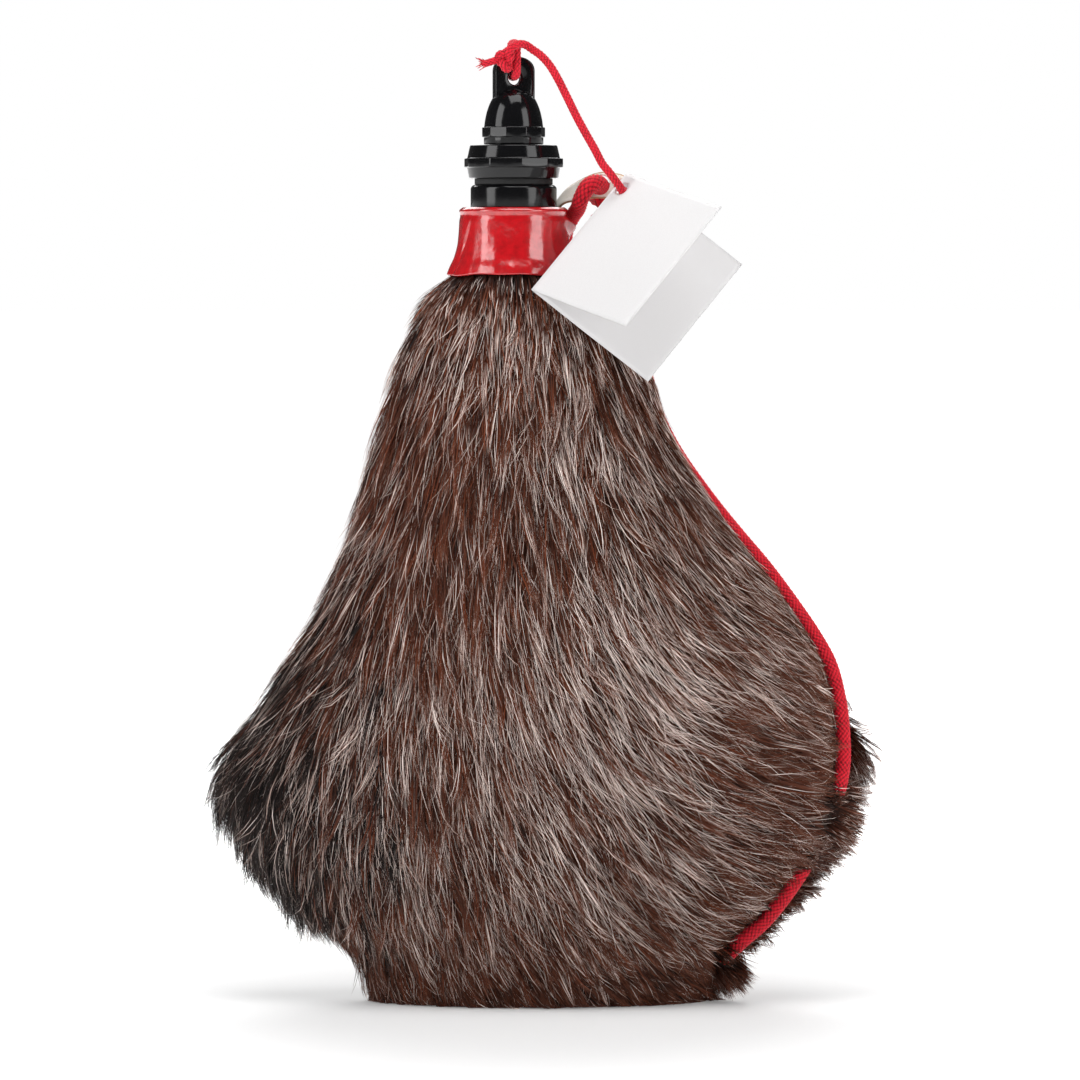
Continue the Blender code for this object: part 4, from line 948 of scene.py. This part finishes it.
def locks(roots, length, lift, bend, steps, per_lock, spread, pull, shorten=True):
    """Hairs in locks. Each lock has a guide line; its hairs start in a disc round the guide's root and
    draw together towards the tip as 1 - pull·t^1.2, with a slow sideways wave of their own."""
    guides, normals = comb(roots, length, lift, bend, steps)
    if shorten:
        length = kept_short(roots, guides, length)
        guides, normals = comb(roots, length, lift, bend, steps)
    g = np.repeat(np.arange(len(roots)), per_lock)
    n = len(g)
    t = np.linspace(0, 1, steps + 1)[None, :, None]
    ahead = unit(np.gradient(guides, axis=1))
    side = across(normals, ahead)
    turn, far = rng.random(n) * 2 * math.pi, np.sqrt(rng.random(n)) * spread
    a, c = (far * np.cos(turn))[:, None, None], (far * np.sin(turn))[:, None, None]
    wave = rng.normal(0, 0.35, (n, 1, 1)) * np.sin(math.pi * t * rng.uniform(0.8, 2.2, (n, 1, 1)))
    stray = np.where(rng.random((n, 1, 1)) < 0.07, rng.normal(0, 5.5, (n, 1, 1)), 0) * t**1.6
    close = 1 - pull[g][:, None, None] * t**1.2
    share = (length[g] / 27.0)[:, None, None]
    points = guides[g] + side[g] * (a * close + (wave + stray) * share) + ahead[g][:, :1] * c * 1.2 * (1 - 0.25 * t)
    points = points + normals[g] * (rng.uniform(-0.9, 0.5, (n, 1, 1)) * t + rng.normal(0, 0.25, (n, 1, 1)) * np.sin(math.pi * t))
    points[..., 2] = np.maximum(points[..., 2], 0.3)
    points[..., 0] = held_in(points[..., 0])
    return clear_of_cord(points, normals[g], (roots[g, 1] < 1.0)), normals[g], g


def ribbons(points, normals, width, tone):
    """Each hair as a tapering ribbon: two points a station, one at the tip, rolled about its own line
    by a random angle. On the map it is a narrow upright strip at its tone."""
    n, steps = points.shape[:2]
    ahead = unit(np.gradient(points, axis=1))
    side = across(normals, ahead)
    roll = rng.uniform(-0.8, 0.8, (n, 1, 1))
    side = side * np.cos(roll) + np.cross(ahead, side) * np.sin(roll)
    t = np.linspace(0, 1, steps)
    half = (width[:, None] / 2 * (1 - 0.8 * t**1.6))[..., None]
    pair = np.stack([points - side * half, points + side * half], 2)[:, :-1].reshape(n, -1, 3)
    verts = np.concatenate([pair, points[:, -1:]], 1)
    each = verts.shape[1]
    k = np.arange(steps - 2) * 2
    quads = np.stack([k, k + 1, k + 3, k + 2], 1)
    quads = (np.arange(n)[:, None, None] * each + quads).reshape(-1, 4)
    tris = np.arange(n)[:, None] * each + np.array([each - 3, each - 2, each - 1])
    v = np.linspace(0.004, 0.996, steps)
    low, high = tone[:, None] - 0.0018, tone[:, None] + 0.0018
    quad_v = np.broadcast_to(np.stack([v[:-2], v[:-2], v[1:-1], v[1:-1]], 1), (n, steps - 2, 4))
    quad_u = np.broadcast_to(np.stack([low, high, high, low], -1), (n, steps - 2, 4))
    tri_u = np.concatenate([low, high, tone[:, None]], 1)
    tri_v = np.broadcast_to([v[-2], v[-2], v[-1]], (n, 3))
    return {
        "verts": verts.reshape(-1, 3), "quads": quads, "quad_map": np.stack([quad_u, quad_v], -1).reshape(-1, 4, 2),
        "tris": tris, "tri_map": np.stack([tri_u, tri_v], -1), "relief": np.zeros(n * each),
    }


def hair_tone(roots, white, ruddy, lock=None):
    """Place on the hair map: its three bands are black-brown, brown and red-brown, each by whiteness.
    Black locks grow on the left wing and, sparsely, everywhere."""
    x, z = roots[:, 0], roots[:, 2]
    # whiteness is cut towards the ground as painted shade on the bag's lower hair, and towards the left wing
    white = np.clip(white * np.interp(z, [0, 55], [0.62, 1.0]) * np.interp(x, [-100, -60], [0.55, 1.0]), 0.015, 0.98)
    wing = np.interp(x, [-100, -78, -52, -30], [1.0, 0.9, 0.45, 0.07]) * np.interp(z, [20, 50, 150, 200], [0.6, 1.0, 0.9, 0.5])
    dice = rng.random(len(roots))
    if lock is not None:
        dice = 0.3 * dice + 0.7 * rng.random(lock.max() + 1)[lock]
    black = dice < np.maximum(wing, 0.05)
    return (np.where(black, 0.0, np.where(ruddy, 2.0, 1.0)) + white) / 3


def lay_coat(name, points, normals, width, tone, hair, most=185000):
    """Split a layer into pieces under the triangle limit, front first and from the ground up."""
    steps = points.shape[1]
    each = 2 * (steps - 2) + 1
    order = np.lexsort((points[:, 0, 2], points[:, 0, 1] > 0))
    chunks = np.array_split(order, math.ceil(len(order) * each / most))
    for k, pick in enumerate(chunks):
        make_piece(f"{name}_{k + 1}", [ribbons(points[pick], normals[pick], width[pick], tone[pick])], hair, "bag", map_name="OFBake")


def make_skin(skin):
    """The hide under the hair: front and back half shells whose rows close in under the base."""
    z = np.concatenate([[0.25, 0.25, 0.25], np.linspace(0.25, 236, 90), [238.0, 239.5, 240.7, 246.0, 251.5]])
    shrink = np.concatenate([[0.02, 0.4, 0.8], np.ones(95)])
    for name, node, low, high in (("hide_front", "front_hide_panel", math.pi, 2 * math.pi), ("hide_back", "back_hide_panel", 0.0, math.pi)):
        angle = np.linspace(low, high, 90)[None, :]
        p = bag_surface(angle, z[:, None] + 0 * angle, 1.0)
        middle = np.array([0.0, 0.0]) + 0 * p[..., :2]
        p[..., :2] = middle + (p[..., :2] - middle) * shrink[:, None, None]
        make_piece(name, [patch(p)], skin, "bag", [node])


def make_coat():
    """Three layers: short dark undercoat, the long main coat in locks, and thin pale guard hairs."""
    hair = hair_finish()
    even = lambda p: np.where(p[..., 1] < 0, 1.25, 1.0) * np.where(p[..., 2] > 228, 1.5, 1.0)
    raised = lambda p: np.interp(p[:, 2], [222, 236], [0.0, 0.12])
    gathered = lambda z: np.interp(z, [208, 230], [0.0, 1.0])

    roots = scatter(30000, even)
    n = len(roots)
    length = rng.uniform(11, 17, n)
    lines, normals = comb(roots, length, rng.uniform(0.15, 0.4, n) + raised(roots), rng.normal(0, 0.25, n), 3)
    lines = clear_of_cord(lines, normals, roots[:, 1] < 1.0)
    lay_coat("undercoat", lines, normals, rng.uniform(0.45, 0.75, n), hair_tone(roots, rng.random(n) * (0.12 + gathered(roots[:, 2]) * 0.25), rng.random(n) < 0.25 + gathered(roots[:, 2]) * 0.5), hair)

    roots = scatter(4300, even)
    g = len(roots)
    length = 29 * rng.uniform(0.78, 1.18, g) * np.interp(roots[:, 2], [0, 8, 30, 205, 236], [0.35, 0.6, 1.0, 1.0, 0.8])
    edge = (roots[:, 1] > 0) & (roots[:, 0] > 72)
    length = np.where(edge, length * 0.62, length)
    lines, normals, lock = locks(roots, length, rng.uniform(0.16, 0.42, g) + raised(roots), rng.normal(0, 0.30, g), 5, 21, 3.6, rng.uniform(0.55, 0.95, g))
    white = lie_of_hair(lines[:, 0, 0], lines[:, 0, 2])[1]
    patchy = rng.normal(0, 0.24, g)[lock]
    white = white + gathered(lines[:, 0, 2]) * 0.9
    chance = np.clip(white * 0.29 + patchy * 0.5 - np.where(lines[:, 0, 1] > 0, 0.05, 0), 0.01, 0.9)
    tone = np.where(rng.random(len(lock)) < chance, rng.uniform(0.6, 1.0, len(lock)), rng.uniform(0.0, 0.2, len(lock)))
    redness = np.exp(-((lines[:, 0, 0] + 18) / 42) ** 2) * np.interp(lines[:, 0, 2], [60, 130, 236], [0.12, 0.4, 0.75])
    ruddy = rng.random(len(lock)) < redness * 0.9 + 0.08
    lay_coat("coat", lines, normals, rng.uniform(0.24, 0.38, len(lock)), hair_tone(lines[:, 0], tone, ruddy, lock), hair)

    run = side_run[(side_run[:, 2] > 13) & (side_run[:, 2] < 107)]
    g = 520
    roots = run[rng.integers(0, len(run), g)] + np.stack([rng.normal(-3.2, 1.0, g), 0 * rng.random(g), rng.normal(0, 1.5, g)], 1)
    roots[:, 1] = rng.uniform(0.6, 5.0, g)
    tuft = 0.72 + 0.32 * np.sin(roots[:, 2] / 3.7) * np.sin(roots[:, 2] / 9.1 + 1.0)
    length = rng.uniform(12, 21, g) * tuft * np.interp(roots[:, 2], [16, 24, 29, 38, 46, 60, 68, 76, 84, 92, 98, 106], [0.6, 0.7, 0.95, 0.75, 1.0, 1.0, 1.4, 0.9, 1.1, 1.5, 1.1, 0.6])
    lines, normals, lock = locks(roots, length, rng.uniform(0.0, 0.15, g), rng.normal(-0.12, 0.28, g), 4, 24, 2.0, rng.uniform(0.6, 0.95, g), False)
    lay_coat("fringe", lines, normals, rng.uniform(0.22, 0.36, len(lock)), hair_tone(lines[:, 0], 0.1 + rng.random(len(lock)) ** 2.5 * 0.8, rng.random(len(lock)) < 0.4), hair)

    roots = scatter(33000, even)
    n = len(roots)
    length = rng.uniform(24, 33, n) * np.interp(roots[:, 2], [0, 8, 34, 205, 236], [0.3, 0.5, 1.0, 1.0, 0.75])
    length = np.where((roots[:, 1] > 0) & (roots[:, 0] > 72), length * 0.6, length)
    lines, normals, lock = locks(roots, length, rng.uniform(0.25, 0.5, n) + raised(roots), rng.normal(0, 0.32, n), 6, 1, 0.0, np.zeros(n))
    white = lie_of_hair(lines[:, 0, 0], lines[:, 0, 2])[1]
    white = white + gathered(roots[:, 2]) * 0.2
    tone = np.where(rng.random(n) < 0.18 + white * 0.8, 0.45 + white * 0.6 + rng.normal(0, 0.15, n), 0.1)
    lay_coat("guard_hair", lines, normals, rng.uniform(0.14, 0.22, n), hair_tone(roots, tone, rng.random(n) < 0.3), hair)
    return hair


def edge_cover(hair):
    """Hair that leaves the bag's edge and lies along the strap, hiding more of it the higher it is: each
    hair follows the cord at its own distance aside of the axis, on the cord's round front."""
    n, t = 6400, np.linspace(0, 1, 7)[None, :]
    span = np.flatnonzero((strap_line[:, 1] < 1.5) & (strap_line[:, 2] < 224) & (strap_line[:, 2] > 112))
    first = span[0] + (rng.random(n) ** 1.25 * len(span)).astype(int)
    at = np.minimum(first[:, None] + (rng.uniform(13, 26, (n, 1)) * t / 0.4).astype(int), len(strap_line) - 1)
    line = strap_line[at]
    way = unit(np.gradient(strap_line[:, [0, 2]], axis=0))[at]
    limit = np.interp(line[..., 2], [104, 122, 150, 163, 173, 198, 206], [-3.0, -1.9, -0.9, 0.4, 1.1, 2.5, 1.8])
    aside = limit - rng.random((n, 1)) ** 1.5 * 4.5 - rng.uniform(2.0, 4.5, (n, 1)) * (1 - t) ** 2 + rng.normal(0, 0.5, (n, 1)) * t**2
    front = np.sqrt(np.clip(2.95**2 - aside**2, 0, None)) + rng.uniform(0.1, 0.9, (n, 1)) * np.sin(math.pi * t * 0.9) + 0.1
    points = line + np.stack([-way[..., 1] * aside, -np.maximum(front, 1.2 - aside * 0.45), way[..., 0] * aside], -1)
    normals = np.broadcast_to(np.array([0.25, -1.0, 0.1]), points.shape)
    white = np.where(rng.random(n) < 0.42, rng.uniform(0.4, 0.9, n), 0.1)
    lay_coat("edge_cover", points, normals, rng.uniform(0.2, 0.34, n), hair_tone(points[:, 0], white, rng.random(n) < 0.3), hair)

    run = side_run[((side_run[:, 2] > 45) & (side_run[:, 2] < 69)) | (side_run[:, 2] < 16)]
    g = 260
    roots = run[rng.integers(0, len(run), g)] + np.stack([rng.uniform(-9.0, -2.0, g), 0 * rng.random(g), rng.normal(2.5, 1.5, g)], 1)
    roots[:, 1] = -np.abs(roots[:, 1]) - 1.0
    lines, normals, lock = locks(roots, rng.uniform(11, 16, g), rng.uniform(0.2, 0.4, g), rng.normal(-0.15, 0.2, g), 5, 20, 2.2, rng.uniform(0.6, 0.9, g), False)
    lay_coat("keeper_cover", lines, normals, rng.uniform(0.22, 0.34, len(lock)), hair_tone(lines[:, 0], rng.random(len(lock)) ** 2.5 * 0.9, rng.random(len(lock)) < 0.2), hair)


def make_keepers(skin, hair):
    """Two loops of hairy hide over the strap: a rough sleeve with its own short hair laid over it."""
    far = length_along(strap_line)
    for name, node, station, low, high in (
        ("keeper_side", "strap_keeper_side", side_keeper, 56.5, 65.0), ("keeper_low", "strap_keeper_bottom", low_keeper, 9.0, 15.0),
    ):
        k = np.linalg.norm(strap_line - strap_route[station], axis=1).argmin()
        near = np.abs(far - far[k]) < 12
        line = strap_line[near & (strap_line[:, 2] > low) & (strap_line[:, 2] < high)]
        side, other = carried(line)
        turn = np.linspace(0, 2 * math.pi, 40, endpoint=False)[None, :, None]
        rough = 0.12 * np.sin(5 * turn + line[:, None, 2:] * 1.3) + 0.1 * np.sin(9 * turn - line[:, None, 2:] * 2.1)
        ring = np.cos(turn) * side[:, None] + np.sin(turn) * other[:, None]
        outer, inner = line[:, None] + ring * (3.75 + rough), line[:, None] + ring * 2.85
        sleeve = patch(np.concatenate([outer, inner[::-1]]), around=True, along=True)
        make_piece(name, [sleeve], skin, "bag", [node])
        n = 1100
        pick = rng.integers(0, len(line), n)
        angle = rng.random(n)[:, None] * 2 * math.pi
        away = np.cos(angle) * side[pick] + np.sin(angle) * other[pick]
        root = line[pick] + away * 3.6
        lie = lie_of_hair(root[:, 0], root[:, 2])[0][:, None] * 0.8
        down = np.concatenate([np.sin(lie), np.zeros((n, 1)), -np.cos(lie)], 1) + rng.normal(0, 0.16, (n, 3))
        t = np.linspace(0, 1, 5)[None, :, None]
        points = root[:, None] + (unit(down)[:, None] * t + away[:, None] * (0.28 * t - 0.22 * t**2)) * rng.uniform(5, 10, (n, 1, 1))
        points[..., 2] = np.maximum(points[..., 2], 0.3)
        # keeper hair whiteness stays under a half, so it is mostly dark: painted shade under the bag's overhang
        make_piece(name + "_hair", [ribbons(points, np.repeat(away[:, None], 5, 1), rng.uniform(0.25, 0.4, n), hair_tone(root, rng.random(n) * 0.5, rng.random(n) < 0.2))], hair, "bag", map_name="OFBake")


skin = skin_finish()
make_skin(skin)
hair = make_coat()
make_keepers(skin, hair)
edge_cover(hair)


def make_inner():
    """Hidden pieces: seam thread, twine binding and liner, each with its own finish."""
    hemp = plain_finish("waxed_hemp", (0.30, 0.22, 0.13), (0.46, 0.36, 0.24), 0.8, 3200.0, 0.5)
    latex = plain_finish("liner_latex", (0.50, 0.40, 0.25), (0.66, 0.56, 0.40), 0.42, 700.0, 0.3)
    for node, finish in (("seam_thread", hemp), ("neck_binding", hemp), ("bladder", latex)):
        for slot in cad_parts[node].material_slots:
            slot.material = finish


make_inner()

# ---------------------------------------------------------------- floor and lights


def make_studio():
    """A wide white floor that glows dimly near the bag, as a painted shadow round its base, and fully away from it,
    a surround that is white behind everything but lights little, two upright softboxes and a top one."""
    f = Finish("white_floor", Roughness=0.7, Emission_Strength=1.0)
    parts = f.tree.nodes.new("ShaderNodeSeparateXYZ")
    f.feed(parts.inputs[0], f.node("TexCoord", output="Object"))
    aside, ahead = Term(f, parts.outputs[0]), Term(f, parts.outputs[1])
    # painted shadow: the floor's glow is dimmed close to the bag
    far = (aside * aside + ahead * ahead * 0.7).steps(0.006, 0.07)
    f.paint(Base_Color=(0.74, 0.74, 0.74), Emission_Color=f.blend(far, (0.155, 0.155, 0.155), (1.0, 1.0, 1.0)))
    reach, turn = np.array([0.0, 700.0, 3000.0, 20000.0])[:, None], np.linspace(0, 2 * math.pi, 48, endpoint=False)
    points = np.stack([reach * np.cos(turn), reach * np.sin(turn), 0 * reach * turn - 0.02], -1)
    floor = bpy.data.objects.new("floor", build_mesh("floor", [patch(points, around=True)]))
    floor.data.materials.append(f.material)
    bpy.context.scene.collection.objects.link(floor)

    world = bpy.data.worlds.new("surround")
    world.use_nodes = True
    seen, lit = world.node_tree.nodes.new("ShaderNodeLightPath"), world.node_tree.nodes.new("ShaderNodeMapRange")
    lit.inputs["To Min"].default_value, lit.inputs["To Max"].default_value = 0.07, 1.0
    world.node_tree.links.new(seen.outputs["Is Camera Ray"], lit.inputs["Value"])
    sky = world.node_tree.nodes["Background"]
    sky.inputs["Color"].default_value = (1.0, 1.0, 1.0, 1.0)
    world.node_tree.links.new(lit.outputs["Result"], sky.inputs["Strength"])
    bpy.context.scene.world = world
    for name, spot, size, power in (
        ("left_box", (-1.36, -0.68, 0.75), (0.75, 1.3), 15.0),
        ("right_box", (1.20, -0.95, 0.70), (0.65, 1.2), 11.0),
        ("top_box", (0.1, -0.35, 1.6), (1.1, 1.1), 17.0),
        ("back_box", (0.0, 1.25, 1.35), (1.8, 1.2), 24.0),
    ):
        data = bpy.data.lights.new(name, "AREA")
        data.shape, data.size, data.size_y, data.energy = "RECTANGLE", size[0], size[1], power
        lamp = bpy.data.objects.new(name, data)
        lamp.location = spot
        lamp.rotation_euler = (Vector((0.0, 0.0, 0.16)) - Vector(spot)).to_track_quat("-Z", "Y").to_euler()
        bpy.context.scene.collection.objects.link(lamp)
    bpy.context.scene.view_settings.view_transform = "Standard"


make_studio()
